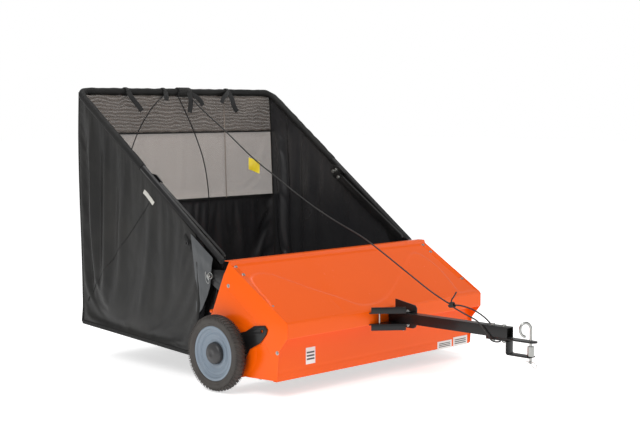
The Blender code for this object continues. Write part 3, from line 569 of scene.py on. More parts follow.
def turned_piece(name, profile, centre, axis, look, body, steps=64, closed=False, angle=35):
    shape = turned_mesh(profile, centre, axis, steps, closed)
    return piece_from(name, mesh_of(shape, name), [look], body, angle)


def softened(node_name, width, look, segments=2):
    """The solid's own shape with rounded edges, in place of the sharp solid."""
    source = NODES[node_name]
    shape = bmesh.new()
    shape.from_mesh(source.data)
    bmesh.ops.remove_doubles(shape, verts=shape.verts, dist=0.00002)
    bmesh.ops.dissolve_limit(shape, angle_limit=math.radians(2), verts=shape.verts,
                             edges=shape.edges)
    mesh = mesh_of(shape, node_name + "_finished")
    mesh.materials.clear()
    made = piece_from(node_name + "_finished", mesh, [look], None)
    bevel = made.modifiers.new("round_edges", "BEVEL")
    bevel.width = width
    bevel.segments = segments
    bevel.limit_method = "ANGLE"
    bevel.angle_limit = math.radians(38)
    bevel.use_clamp_overlap = True
    settle(made)
    made.data.shade_smooth()
    made.data.set_sharp_from_angle(angle=math.radians(35))
    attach(made, source["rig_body"])
    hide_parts(node_name)
    return made


def join_pieces(name, shapes, looks, body, angle=35):
    """One piece from several closed bmeshes that share a material list."""
    whole = bmesh.new()
    for shape in shapes:
        part = mesh_of(shape, "part")
        whole.from_mesh(part)
        bpy.data.meshes.remove(part)
    return piece_from(name, mesh_of(whole, name), looks, body, angle)


# %% [markdown]
# ## Pull rope
# The operator pulls this rope from the tractor's seat to tip the hopper. It is tied to
# the top rail, runs forward over the hood with a little sag, and ends in a loop round
# the tow bar, closed with a knot. It is a tube on one smooth path with a braided cover.

# %% Rope
ROPE_RADIUS = 0.0027
ROPE_ROUTE = [(0.040, 0.888, 1.066), (0.036, 0.790, 1.004), (0.026, 0.640, 0.920),
              (0.014, 0.470, 0.820), (0.006, 0.320, 0.744), (0.000, 0.140, 0.654),
              (-0.004, -0.010, 0.590), (-0.008, -0.170, 0.532), (-0.012, -0.280, 0.480),
              (-0.014, -0.390, 0.423), (-0.016, -0.510, 0.361), (-0.018, -0.590, 0.327),
              (-0.018, -0.622, 0.319), (-0.010, -0.660, 0.317), (0.004, -0.700, 0.305),
              (0.018, -0.735, 0.283), (0.0255, -0.762, 0.258), (0.0260, -0.788, 0.230),
              (0.0245, -0.804, 0.2125), (0.0110, -0.8130, 0.2068), (-0.0110, -0.8130, 0.2068),
              (-0.0250, -0.801, 0.2130), (-0.0265, -0.785, 0.232), (-0.0260, -0.760, 0.256),
              (-0.0250, -0.735, 0.275), (-0.0260, -0.695, 0.289), (-0.0270, -0.655, 0.303),
              (-0.0270, -0.630, 0.314), (-0.0200, -0.618, 0.332), (-0.0200, -0.630, 0.350),
              (-0.0200, -0.640, 0.366)]
rope_path = spline_points([at(*p) for p in ROPE_ROUTE], 0.006)
rope = tube_piece("rope", rope_path, ROPE_RADIUS, BRAID, None, 12)

# %% [markdown]
# The knot is a few turns of the same rope wound tightly round both strands. A helix with
# a small pitch, its radius a little over the rope's own, reads as a neat bound knot.

# %% Knots
KNOT = (-0.021, -0.622, 0.3185)


def wound(centre, direction, coil_radius, turns, pitch):
    """Points of a helix about a line through the centre."""
    direction = Vector(direction).normalized()
    guess = Vector((0, 0, 1)) if abs(direction.z) < 0.9 else Vector((1, 0, 0))
    first = direction.cross(guess).normalized()
    second = direction.cross(first)
    count = int(turns * 14)
    path = []
    for step in range(count + 1):
        a = 2 * math.pi * turns * step / count
        shift = pitch * turns * (step / count - 0.5)
        path.append(Vector(centre) + direction * shift
                    + coil_radius * (math.cos(a) * first + math.sin(a) * second))
    return path


knot = tube_piece("rope_knot", wound(at(*KNOT), (0, -0.95, 0.1), 0.0085, 3.5, 0.0056),
                  ROPE_RADIUS * 0.95, BRAID, "housing", 10)
tube_piece("rope_rail_knot",
           wound(at(0.040, 0.9040, 1.0875), (1, 0, 0), 0.0172, 3.5, 0.0056),
           ROPE_RADIUS * 0.95, BRAID, "hopper", 10)

# %% [markdown]
# ## Hood
# The hood is one pressed steel sheet: a stiffening lip along the top, a long slope with
# a raised outline pressed into it, a rolled ridge, and a lower front panel set back
# under the ridge. It is a grid over the folded line of its section. The pressing is a
# height worked out from the distance to one closed outline, so its edge is a soft step.

# %% Section of the hood and the pressed outline
SHEET = 0.0020
HOOD_SECTION = [(0.010, 0.4700), (-0.018, 0.4700), (-0.024, 0.4560), (-0.3120, 0.2791),
                (-0.3170, 0.2730), (-0.3170, 0.2205), (-0.2620, 0.2145), (-0.2620, 0.0620),
                (-0.2420, 0.0620)]
FOLD_RADIUS = [0.003, 0.003, 0.006, 0.004, 0.003, 0.003, 0.003]
PRESSING_HEIGHT = 0.0034
PRESSED_OUTLINE = [(-0.552, -0.330), (-0.552, -0.262), (-0.534, -0.205), (-0.530, -0.156),
                   (-0.515, -0.100), (-0.467, -0.076), (-0.403, -0.089), (-0.349, -0.129),
                   (-0.291, -0.174), (-0.203, -0.234), (-0.156, -0.272), (-0.109, -0.288),
                   (-0.027, -0.282), (0.061, -0.252), (0.224, -0.169), (0.330, -0.108),
                   (0.400, -0.073), (0.440, -0.072), (0.462, -0.110), (0.468, -0.165),
                   (0.452, -0.230), (0.430, -0.298), (0.425, -0.330)]


def folded_line(corners, radii, bend_steps=5, straight=0.012):
    """Points along a folded section, with round folds and even straight stretches."""
    path = [Vector(corners[0])]
    for index, radius in enumerate(radii, start=1):
        corner = Vector(corners[index])
        back = (Vector(corners[index - 1]) - corner).normalized()
        ahead = (Vector(corners[index + 1]) - corner).normalized()
        half = back.angle(ahead) / 2
        reach = radius / math.tan(half)
        centre = corner + (back + ahead).normalized() * (radius / math.sin(half))
        first = corner + back * reach - centre
        last = corner + ahead * reach - centre
        turn = first.angle_signed(last)
        path.append(centre + first)
        for step in range(1, bend_steps + 1):
            a = -turn * step / bend_steps
            spin = Matrix.Rotation(a, 2)
            path.append(centre + spin @ first)
    path.append(Vector(corners[-1]))
    even = [path[0]]
    for before, after in zip(path, path[1:]):
        count = max(1, math.ceil((after - before).length / straight))
        even += [before.lerp(after, step / count) for step in range(1, count + 1)]
    return even


def outline_distance(xs, ys, outline):
    """Signed distance to a closed outline, positive inside, for arrays of points."""
    best = np.full(xs.shape, 1e9)
    inside = np.zeros(xs.shape, bool)
    for (xa, ya), (xb, yb) in zip(outline, outline[1:] + outline[:1]):
        dx, dy = xb - xa, yb - ya
        t = np.clip(((xs - xa) * dx + (ys - ya) * dy) / (dx * dx + dy * dy), 0, 1)
        best = np.minimum(best, np.hypot(xs - xa - t * dx, ys - ya - t * dy))
        crosses = (ya > ys) != (yb > ys)
        with np.errstate(divide="ignore", invalid="ignore"):
            where = xa + (ys - ya) * dx / (dy if dy else 1e-9)
        inside ^= crosses & (xs < where)
    return np.where(inside, best, -best)


def soft_step(value, width):
    t = np.clip(value / width + 0.5, 0, 1)
    return t * t * (3 - 2 * t)


def smooth_outline(points):
    closed = spline_points([(x, y, 0) for x, y in points], 0.012)
    return [(p.x, p.y) for p in closed]


# %% Hood sheet
section = folded_line(HOOD_SECTION, FOLD_RADIUS, straight=0.005)
HOOD_COLUMNS = 300
hood_x = np.linspace(-HOOD_HALF, HOOD_HALF, HOOD_COLUMNS)
pressed = smooth_outline(PRESSED_OUTLINE)


def build_hood():
    along = np.array([tuple(p) for p in section])
    runs = np.gradient(along, axis=0)
    runs /= np.linalg.norm(runs, axis=1)[:, None]
    outward = np.stack([runs[:, 1], -runs[:, 0]], axis=1)
    grid_x, grid_y = np.meshgrid(hood_x, along[:, 0])
    on_slope = ((along[:, 0] < -0.026) & (along[:, 0] > -0.3112) & (along[:, 1] > 0.276))
    depth = outline_distance(grid_x, grid_y, pressed)
    fade = soft_step(along[:, 0] + 0.300, 0.020)
    height = PRESSING_HEIGHT * (soft_step(depth, 0.012) - 1) * on_slope[:, None] * fade[:, None]
    crease = np.exp(-((grid_x + 0.245) / 0.004) ** 2) * (grid_y < -0.235) * on_slope[:, None]
    height = height - 0.0008 * crease * fade[:, None]
    front = (along[:, 1] < 0.205) & (along[:, 0] < -0.258)
    hem = np.exp(-((along[:, 1] - 0.0950) / 0.0035) ** 2) * front
    height = height - 0.0010 * hem[:, None]
    shape = bmesh.new()
    rows = []
    for row in range(len(along)):
        line = []
        for column in range(HOOD_COLUMNS):
            y = along[row, 0] + outward[row, 0] * height[row, column]
            z = along[row, 1] + outward[row, 1] * height[row, column]
            line.append(shape.verts.new(at(hood_x[column], y, z)))
        rows.append(line)
    for low, high in zip(rows, rows[1:]):
        for column in range(HOOD_COLUMNS - 1):
            shape.faces.new((low[column], low[column + 1], high[column + 1], high[column]))
    bmesh.ops.recalc_face_normals(shape, faces=shape.faces)
    slope_face = min(shape.faces, key=lambda f: (f.calc_center_median() - at(0, -0.15, 0.38))
                     .length)
    if slope_face.normal.z < 0:
        bmesh.ops.reverse_faces(shape, faces=shape.faces)
    made = piece_from("hood_sheet", mesh_of(shape, "hood_sheet"), [ORANGE], None, 60)
    wall = made.modifiers.new("sheet", "SOLIDIFY")
    wall.thickness = SHEET
    wall.offset = -1
    settle(made)
    made.data.shade_smooth()
    made.data.set_sharp_from_angle(angle=math.radians(50))
    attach(made, "housing")
    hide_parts("hood")


build_hood()

# %% [markdown]
# ## Side plates
# Each side of the housing is a flat plate with a flange along its slope. The solid's
# shape is right, so its edges are rounded and pressings are added that stand a little
# proud: a round one about the brush shaft and a shallow crease below the flange.

# %% Side plates
SHAFT_Y, SHAFT_Z = middle_of("pinion_left")


def pressed_ring(side):
    """Round pressing about the brush shaft, sunk a little into the plate."""
    face = PLATE_OUT
    profile = [(0.0320, face - 0.0014), (0.0320, face + 0.0010), (0.0340, face + 0.0022),
               (0.0820, face + 0.0022), (0.0880, face + 0.0016), (0.0940, face + 0.0003),
               (0.0975, face - 0.0002), (0.0975, face - 0.0014)]
    return turned_mesh(profile, at(0, SHAFT_Y, SHAFT_Z), (side, 0, 0), 96, closed=True)


def box_mesh(centre, size, turn=None, bevel=0.0):
    shape = bmesh.new()
    place = Matrix.Translation(centre) @ (turn or Matrix.Identity(4))
    bmesh.ops.create_cube(shape, size=1, matrix=place @ Matrix.Diagonal((*size, 1)))
    if bevel:
        bmesh.ops.bevel(shape, geom=shape.edges[:], offset=bevel, segments=2,
                        affect="EDGES", profile=0.5)
    return shape


for side, name in SIDES:
    softened("side_plate_" + name, 0.0007, ORANGE)
    join_pieces("side_pressing_" + name, [pressed_ring(side)], [ORANGE], "housing")
    rib = tube_mesh([at(side * (PLATE_OUT - 0.0010), y, z)
                     for y, z in ((0.003, 0.372), (-0.143, 0.277), (-0.235, 0.150))],
                    0.0016, 10)
    join_pieces("side_crease_" + name, [rib], [ORANGE], "housing", 60)
    tab = box_mesh(at(side * (PLATE_OUT - 0.012), 0.0850, 0.2760), (0.024, 0.012, 0.010),
                   Matrix.Rotation(0.35, 4, "X"), 0.0010)
    join_pieces("plate_tab_" + name, [tab], [ORANGE], "housing")

# %% [markdown]
# ## Screws
# The same few sizes of screw hold the sheet together. One Geometry Nodes tree puts a
# screw head on every point of a small mesh and turns it to the point's own normal, so
# all the screws of one body become one piece.

# %% A tree that copies one shape onto points


def scatter_tree(name):
    """Geometry Nodes: instances on points, turned to a stored direction, then realized."""
    tree = bpy.data.node_groups.new(name, "GeometryNodeTree")
    for label, kind in (("Geometry", "NodeSocketGeometry"), ("Shape", "NodeSocketObject"),
                        ("Size", "NodeSocketFloat"), ("Material", "NodeSocketMaterial")):
        tree.interface.new_socket(label, in_out="INPUT", socket_type=kind)
    tree.interface.new_socket("Geometry", in_out="OUTPUT", socket_type="NodeSocketGeometry")
    entry = tree.nodes.new("NodeGroupInput")
    leave = tree.nodes.new("NodeGroupOutput")
    info = tree.nodes.new("GeometryNodeObjectInfo")
    tree.links.new(entry.outputs["Shape"], info.inputs["Object"])
    facing = tree.nodes.new("GeometryNodeInputNamedAttribute")
    facing.data_type = "FLOAT_VECTOR"
    facing.inputs["Name"].default_value = "facing"
    along = tree.nodes.new("GeometryNodeInputNamedAttribute")
    along.data_type = "FLOAT_VECTOR"
    along.inputs["Name"].default_value = "along"
    aim = tree.nodes.new("FunctionNodeAxesToRotation")
    aim.primary_axis = "Z"
    aim.secondary_axis = "X"
    tree.links.new(facing.outputs["Attribute"], aim.inputs["Primary Axis"])
    tree.links.new(along.outputs["Attribute"], aim.inputs["Secondary Axis"])
    copies = tree.nodes.new("GeometryNodeInstanceOnPoints")
    tree.links.new(entry.outputs["Geometry"], copies.inputs["Points"])
    tree.links.new(info.outputs["Geometry"], copies.inputs["Instance"])
    tree.links.new(aim.outputs["Rotation"], copies.inputs["Rotation"])
    tree.links.new(entry.outputs["Size"], copies.inputs["Scale"])
    real = tree.nodes.new("GeometryNodeRealizeInstances")
    tree.links.new(copies.outputs["Instances"], real.inputs["Geometry"])
    paint = tree.nodes.new("GeometryNodeSetMaterial")
    tree.links.new(real.outputs["Geometry"], paint.inputs["Geometry"])
    tree.links.new(entry.outputs["Material"], paint.inputs["Material"])
    tree.links.new(paint.outputs["Geometry"], leave.inputs["Geometry"])
    return tree


SCATTER = scatter_tree("Copies on points")


def scattered(name, spots, shape_mesh, look, body, size=1.0, smooth_angle=35):
    """Copies of one mesh on spots of (place, facing direction, direction along)."""
    shape_object = bpy.data.objects.new(name + "_shape", shape_mesh)
    bpy.context.scene.collection.objects.link(shape_object)
    cloud = bpy.data.meshes.new(name)
    cloud.from_pydata([tuple(p) for p, _, _ in spots], [], [])
    for label, column in (("facing", 1), ("along", 2)):
        stored = cloud.attributes.new(label, "FLOAT_VECTOR", "POINT")
        for index, spot in enumerate(spots):
            stored.data[index].vector = spot[column]
    made = bpy.data.objects.new(name, cloud)
    bpy.context.scene.collection.objects.link(made)
    copies = made.modifiers.new("copies", "NODES")
    copies.node_group = SCATTER
    sockets = {item.name: item.identifier for item in SCATTER.interface.items_tree
               if item.in_out == "INPUT"}
    copies[sockets["Shape"]] = shape_object
    copies[sockets["Size"]] = size
    copies[sockets["Material"]] = look
    settle(made)
    bpy.data.objects.remove(shape_object)
    made.data.shade_smooth()
    made.data.set_sharp_from_angle(angle=math.radians(smooth_angle))
    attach(made, body)
    return made


def screw_head():
    """Low hex-washer screw head, its axis along Z, sunk 1 mm below zero."""
    profile = [(0.0, 0.0042), (0.0036, 0.0042), (0.0040, 0.0036), (0.0040, 0.0014),
               (0.0068, 0.0011), (0.0074, 0.0004), (0.0074, -0.0010), (0.0, -0.0010)]
    return mesh_of(turned_mesh(profile, (0, 0, 0), (0, 0, 1), 18), "screw_head")


def slope_point(x, y, lift=0.0):
    """A point on the hood's slope, and the slope's own directions."""
    (ya, za), (yb, zb) = HOOD_SECTION[2], HOOD_SECTION[3]
    share = (y - ya) / (yb - ya)
    outward = Vector((0, zb - za, ya - yb)).normalized()
    if outward.z < 0:
        outward = -outward
    return at(x, y, za + share * (zb - za)) + outward * lift, outward


# %% Hood and plate screws
screw_spots = []
for x, y in ((-0.526, -0.031), (-0.526, -0.072), (0.526, -0.031), (0.526, -0.072),
             (-0.534, -0.232), (0.534, -0.232)):
    place, outward = slope_point(x, y, -0.0030)
    screw_spots.append((place, outward, (1, 0, 0)))
for side in (-1, 1):
    for y, z in ((-0.266, 0.167), (-0.012, 0.380)):
        screw_spots.append((at(side * PLATE_OUT, y, z), (side, 0, 0), (0, 0, 1)))
scattered("housing_screws", screw_spots, screw_head(), ZINC, "housing")

# %% [markdown]
# ## Labels
# The front panel carries small stickers. They are left blank apart from plain grey bars.

# %% Blank labels


def label(name, x_low, x_high, z_low, z_high, y):
    mid_x, mid_z = (x_low + x_high) / 2, (z_low + z_high) / 2
    size = (x_high - x_low, 0.0004, z_high - z_low)
    join_pieces(name, [box_mesh(at(mid_x, y - 0.0003, mid_z), size, None, 0.0001)], [LABEL],
                "housing")
    bars = [box_mesh(at(mid_x, y - 0.0006, z_low + (z_high - z_low) * share),
                     (size[0] * 0.8, 0.0003, size[2] * 0.10)) for share in (0.3, 0.5, 0.7)]
    join_pieces(name + "_bars", bars, [LABEL_INK], "housing")


PANEL_Y = -0.262
label("front_label_left", 0.340, 0.430, 0.060, 0.092, PANEL_Y)
label("front_label_right", 0.440, 0.530, 0.060, 0.098, PANEL_Y)
label("front_label_corner", -0.402, -0.354, 0.106, 0.166, PANEL_Y)

# %% [markdown]
# ## Wheels
# A moulded rim carries a solid rubber tyre with a chevron tread. The tyre's body is a
# turned profile; its lugs and the fine ribs on its shoulder are copies round a circle.

# %% Tyre, rim and hub cap
WHEEL_X = -(tyre_high.x + tyre_low.x) / 2
TREAD_LUGS = 54
GROOVE_DEPTH = 0.0034


def crown(out):
    """Radius of the tread at a distance from the tyre's middle plane."""
    return TYRE_RADIUS - 0.0002 - 0.0120 * (abs(out) / 0.0235) ** 2.6


def tread_lug():
    """One arm of a chevron: a short curved bar that follows the crown."""
    shape = bmesh.new()
    width = 0.0052
    rows = []
    for share in (0.0, 0.25, 0.5, 0.75, 1.0):
        out = 0.0012 + 0.0190 * share
        drift = 0.0105 * share
        base = crown(out) - GROOVE_DEPTH - 0.0006 - TYRE_RADIUS
        top = crown(out) - TYRE_RADIUS
        rows.append([shape.verts.new(spot) for spot in
                     ((drift - width / 2, out, base), (drift - width / 2 + 0.0006, out, top),
                      (drift + width / 2 - 0.0006, out, top), (drift + width / 2, out, base))])
    for row, after in zip(rows, rows[1:]):
        for step in range(3):
            shape.faces.new((row[step], row[step + 1], after[step + 1], after[step]))
        shape.faces.new((row[3], row[0], after[0], after[3]))
    shape.faces.new(rows[0])
    shape.faces.new(rows[-1][::-1])
    bmesh.ops.recalc_face_normals(shape, faces=shape.faces)
    return mesh_of(shape, "tread_lug")


def ring_spots(centre_x, radius, count, start=0.0, mirror=False):
    """Spots round a wheel: each faces outwards from the axle."""
    spots = []
    for step in range(count):
        a = 2 * math.pi * (step + start) / count
        outward = Vector((0, math.cos(a), math.sin(a)))
        ahead = Vector((0, -math.sin(a), math.cos(a)))
        spots.append((at(centre_x, 0, AXLE_Z) + outward * radius, outward,
                      -ahead if mirror else ahead))
    return spots


def shoulder_rib():
    shape = bmesh.new()
    bmesh.ops.create_cube(shape, size=1, matrix=Matrix.Translation((0, 0, -0.0055))
                          @ Matrix.Diagonal((0.0030, 0.0016, 0.0130, 1)))
    return mesh_of(shape, "shoulder_rib")


def build_wheel(side, name):
    body = "wheel_" + name
    centre = at(0, 0, AXLE_Z)
    half = 0.0235
    casing = [(0.1002, 0.0188), (0.1035, 0.0212), (0.1080, 0.0221), (0.1100, 0.0214),
              (0.1115, 0.0224), (0.1180, half - 0.0004), (0.1240, half - 0.0010)]
    tread = [(crown(out) - GROOVE_DEPTH, out) for out in (0.0222, 0.0200, 0.0160, 0.0110,
                                                          0.0060, 0.0)]
    profile = casing + tread
    profile += [(radius, -out) for radius, out in reversed(profile[:-1])]
    profile = [(radius, WHEEL_X + out) for radius, out in profile]
    body_shape = turned_piece("tyre_body_" + name, profile, centre, (side, 0, 0), RUBBER,
                              body, 144, closed=True)
    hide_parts("tyre_" + name)
    lug = tread_lug()
    spots = ring_spots(side * WHEEL_X, TYRE_RADIUS, TREAD_LUGS)
    spots += ring_spots(side * WHEEL_X, TYRE_RADIUS, TREAD_LUGS, 0.5, mirror=True)
    scattered("tyre_tread_" + name, spots, lug, RUBBER, body)
    ribs = []
    for face in (-1, 1):
        ribs += ring_spots(side * WHEEL_X + face * 0.0222, 0.1335, 96)
    scattered("tyre_ribs_" + name, ribs, shoulder_rib(), RUBBER, body)
    rim = [(0.0995, 0.6130), (0.0995, 0.5735), (0.0955, 0.5735), (0.0955, 0.5905),
           (0.0215, 0.5905), (0.0215, 0.5770), (0.0084, 0.5770), (0.0084, 0.6120),
           (0.0215, 0.6120), (0.0235, 0.6000), (0.0260, 0.5975), (0.0440, 0.5975),
           (0.0470, 0.5990), (0.0500, 0.5978), (0.0560, 0.5978), (0.0590, 0.5992),
           (0.0620, 0.6004), (0.0660, 0.6018), (0.0690, 0.6034), (0.0700, 0.6024),
           (0.0780, 0.6024), (0.0800, 0.6050), (0.0830, 0.6062), (0.0868, 0.6066),
           (0.0885, 0.6090), (0.0900, 0.6132), (0.0930, 0.6146), (0.0970, 0.6142)]
    shown = turned_piece("rim_body_" + name, rim, centre, (side, 0, 0), RIM_PLASTIC, body, 96,
                         closed=True, angle=50)
    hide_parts("rim_" + name)
    tooth = bmesh.new()
    bmesh.ops.create_cone(tooth, cap_ends=True, segments=4, radius1=0.0036, radius2=0.0019,
                          depth=0.0085, matrix=Matrix.Scale(2.9, 4, (0, 1, 0))
                          @ Matrix.Rotation(math.pi / 4, 4, "Z"))
    teeth = []
    for place, outward, ahead in ring_spots(side * 0.5810, 0.0905, 60, 0.5):
        teeth.append((place, -outward, ahead))
    scattered("ring_gear_teeth_" + name, teeth, mesh_of(tooth, "gear_tooth"), RIM_PLASTIC,
              body)
    cap = [(0.0, 0.6195), (0.0080, 0.6195), (0.0100, 0.6206), (0.0200, 0.6202),
           (0.0220, 0.6190), (0.0300, 0.6182), (0.0345, 0.6160), (0.0385, 0.6115),
           (0.0400, 0.6060), (0.0404, 0.5990), (0.0370, 0.5990), (0.0366, 0.6090),
           (0.0340, 0.6140), (0.0290, 0.6165), (0.0, 0.6170)]
    hub = turned_piece("hub_cap_body_" + name, cap, centre, (side, 0, 0), CAP_PLASTIC, body,
                       72)
    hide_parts("hub_cap_" + name)


for side, name in SIDES:
    build_wheel(side, name)

# %% [markdown]
# ## Brackets, bars and shafts
# These are cut plate, bar and bent strap. The solid's own shape is right, so each one
# gets its edges rounded by the radius that a shear or a drawing die leaves.

# %% Plates and bars
ROUNDED_PLATES = {
    "wheel_bracket_left": 0.0008, "wheel_bracket_right": 0.0008,
    "pivot_bracket_left": 0.0008, "pivot_bracket_right": 0.0008,
    "bracket_iron_upper": 0.0008, "bracket_iron_lower": 0.0008, "bracket_cheek": 0.0008,
    "clevis_strap_upper": 0.0009, "clevis_strap_lower": 0.0009, "tow_bar": 0.0009,
    "hopper_upright_left": 0.0008, "hopper_upright_right": 0.0008,
    "arm_bracket_left": 0.0008, "arm_bracket_right": 0.0008,
    "hopper_arm_left": 0.0020, "hopper_arm_right": 0.0020}
for node_name, width in ROUNDED_PLATES.items():
    softened(node_name, width, BLACK)
for node_name in ("axle_left", "axle_right", "height_bolt_left", "height_bolt_right",
                  "pinion_left", "pinion_right", "brush_shaft", "brush_core",
                  "hitch_spacer", "lock_pin"):
    softened(node_name, 0.0004, ZINC, 1)
for node_name in ("bearing_left", "bearing_right"):
    softened(node_name, 0.0004, NYLON, 1)

# %% [markdown]
# ## Bolts, pins and clips
# A hex bolt is a six-sided head with its corners turned off, a washer, a shank and a
# nut. The hitch pin and the hair clips are bent wire, so they are tubes on smooth paths.

# %% Hex bolts
UP = Vector((0, 0, 1))


def hex_prism(centre, axis, across, low, high):
    """Hexagonal head or nut with chamfered corners."""
    return turned_mesh([(0.0, high), (across * 0.50, high), (across * 0.577, high - 0.0007),
                        (across * 0.577, low + 0.0004), (across * 0.52, low), (0.0, low)],
                       centre, axis, 6)


def bolt_piece(name, node_name, grip_top, grip, shank, across, body="housing"):
    """Bolt with its head on top: washer, head, shank, washer, nut and thread end."""
    x, y, z = grip_top
    centre = at(x, y, z)
    shapes = [turned_mesh([(0.0, 0.0016), (across * 0.72, 0.0016), (across * 0.76, 0.0011),
                           (across * 0.76, 0.0002), (0.0, 0.0002)], centre, UP, 32),
              hex_prism(centre, UP, across, 0.0014, 0.0060),
              turned_mesh([(0.0, 0.0020), (shank, 0.0020), (shank, -grip - 0.0090),
                           (shank * 0.8, -grip - 0.0098), (0.0, -grip - 0.0098)], centre, UP,
                          24),
              hex_prism(centre, UP, across, -grip - 0.0070, -grip - 0.0014),
              turned_mesh([(0.0, -grip - 0.0002), (across * 0.72, -grip - 0.0002),
                           (across * 0.76, -grip - 0.0010), (across * 0.72, -grip - 0.0016),
                           (0.0, -grip - 0.0016)], centre, UP, 32)]
    made = join_pieces(name, shapes, [ZINC], body)
    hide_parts(node_name)


def grip_of(node_name, head, tail):
    low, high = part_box(node_name)
    middle = (low + high) / 2
    return (middle.x, middle.y - AXLE_Y, high.z - head), high.z - low.z - head - tail


for name, head, tail, shank, across in (("clevis_bolt_front", 0.0045, 0.0090, 0.0041, 0.0125),
                                        ("clevis_bolt_rear", 0.0045, 0.0090, 0.0041, 0.0125),
                                        ("bracket_bolt", 0.0050, 0.0090, 0.0041, 0.0125),
                                        ("stay_bolt", 0.0040, 0.0070, 0.0032, 0.0100)):
    top, grip = grip_of(name, head, tail)
    bolt_piece(name + "_detail", name, top, grip, shank, across)

# %% Hitch pin, its clip and the lock clip
PIN_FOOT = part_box("hitch_pin")[0].z
HITCH_Y = -0.9500
HANDLE_RADIUS = 0.0190
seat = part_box("clevis_strap_lower")[1].z
handle_foot = seat + 0.0450
lean = Vector((-0.75, 0.66, 0))


def hitch_pin_path():
    path = [at(0, HITCH_Y, PIN_FOOT + rise) for rise in (0, 0.003)]
    path += [at(0, HITCH_Y, PIN_FOOT + 0.01 * step) for step in range(1, 9)]
    path = [p for p in path if p.z < handle_foot - 0.004]
    for degrees in range(0, 275, 9):
        a = math.radians(degrees)
        out = HANDLE_RADIUS * (1 - math.cos(a))
        path.append(at(0, HITCH_Y, handle_foot) + lean * out
                    + Vector((0, 0, 1.25 * HANDLE_RADIUS * math.sin(a))))
    return path


pin = tube_piece("hitch_pin_wire", hitch_pin_path(), 0.0048, ZINC, "hitch_pin", 20)
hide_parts("hitch_pin")


def hair_clip(name, node_name, body):
    """Spring clip: a straight leg through the pin and a leg that bows back round it."""
    low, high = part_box(node_name)
    x = (low.x + high.x) / 2
    length, drop = high.y - low.y, high.z - low.z
    wire = 0.0011
    shape_line = [(1.00, 1.00), (0.62, 0.99), (0.36, 0.97), (0.12, 0.76), (0.04, 0.42),
                  (0.16, 0.10), (0.36, 0.30), (0.52, 0.66), (0.66, 0.90), (0.80, 0.62)]
    path = [Vector((x, low.y + wire + (length - 2 * wire) * along,
                    low.z + wire + (drop - 2 * wire) * rise)) for along, rise in shape_line]
    made = tube_piece(name, spline_points(path, 0.0015), wire, ZINC, body, 10)
    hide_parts(node_name)


hair_clip("hitch_clip_wire", "hitch_clip", "hitch_clip")
hair_clip("lock_clip_wire", "lock_clip", "housing")

# %% Pivot pins with their rings
PIVOT_Y, PIVOT_Z = middle_of("pivot_pin_left")


def build_pivot_pin(side, name):
    profile = [(0.0, 0.5572), (0.0070, 0.5570), (0.0096, 0.5556), (0.0102, 0.5535),
               (0.0102, 0.5455), (0.0060, 0.5450), (0.0060, 0.4915), (0.0050, 0.4900),
               (0.0, 0.4900)]
    shown = turned_piece("pivot_pin_body_" + name, profile, at(0, PIVOT_Y, PIVOT_Z),
                         (side, 0, 0), ZINC, "housing", 32)
    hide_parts("pivot_pin_" + name)
    ring = []
    for step in range(40):
        a = 2 * math.pi * step / 39 * 0.985
        ring.append(at(side * 0.5585, PIVOT_Y - 0.0150 - 0.0115 * math.cos(a),
                       PIVOT_Z + 0.0030 + 0.0115 * math.sin(a)))
    tube_piece("pivot_ring_" + name, ring, 0.0012, ZINC, "housing", 10)
    clip = [(0.0, 0.022), (0.002, 0.010), (0.0, -0.004), (-0.006, -0.016), (-0.014, -0.020),
            (-0.019, -0.012), (-0.014, -0.003), (-0.007, 0.004), (-0.009, 0.012)]
    path = [at(side * 0.5600, PIVOT_Y + 0.0080 + u, PIVOT_Z + v - 0.006) for u, v in clip]
    tube_piece("pivot_clip_" + name, spline_points(path, 0.002), 0.0010, ZINC, "housing", 8)


for side, name in SIDES:
    build_pivot_pin(side, name)

# %% [markdown]
# ## Slope edges and arm bolts
# The sheet is rolled over along each end of the slope, which shows as a thin bead. Three
# round-headed bolts hold the top end of each arm, one through the arm and two through
# its bracket.

# %% Slope edges and arm bolts
EDGE_STEPS = (-0.180, -0.215, -0.250, -0.285, -0.3110)
ARM_BOLTS = ((0.4286, 0.7170, 0.4940, 0.0160), (0.4540, 0.7480, 0.5066, 0.0060),
             (0.4720, 0.7420, 0.5066, 0.0060))


def slope_edge(side, name):
    edge = [slope_point(side * (HOOD_HALF + 0.0010), y, -0.0022)[0] for y in EDGE_STEPS]
    tube_piece("hood_edge_" + name, edge, 0.0030, ORANGE, "housing", 12)


def arm_bolt(side, name, y, z, face, reach):
    """Round-headed bolt whose head lies on the face at that distance from the middle."""
    profile = [(0.0, 0.0052), (0.0050, 0.0050), (0.0058, 0.0036), (0.0058, 0.0012),
               (0.0082, 0.0010), (0.0084, -0.0006), (0.0032, -0.0008), (0.0032, -reach),
               (0.0, -reach)]
    turned_piece(name, profile, at(side * face, y, z), (-side, 0, 0), ZINC, "hopper", 24)


for side, name in SIDES:
    slope_edge(side, name)
    for index, bolt in enumerate(ARM_BOLTS):
        arm_bolt(side, "arm_bolt_%s_%d" % (name, index), *bolt)

# %% [markdown]
# ## Hopper frame
# Two bent tubes hold the bag open, the upper one round its mouth and the lower one round
# its floor. They are swept again here with many sides, so that the highlight is smooth.
# Two thin spring rods bow against the back wall.

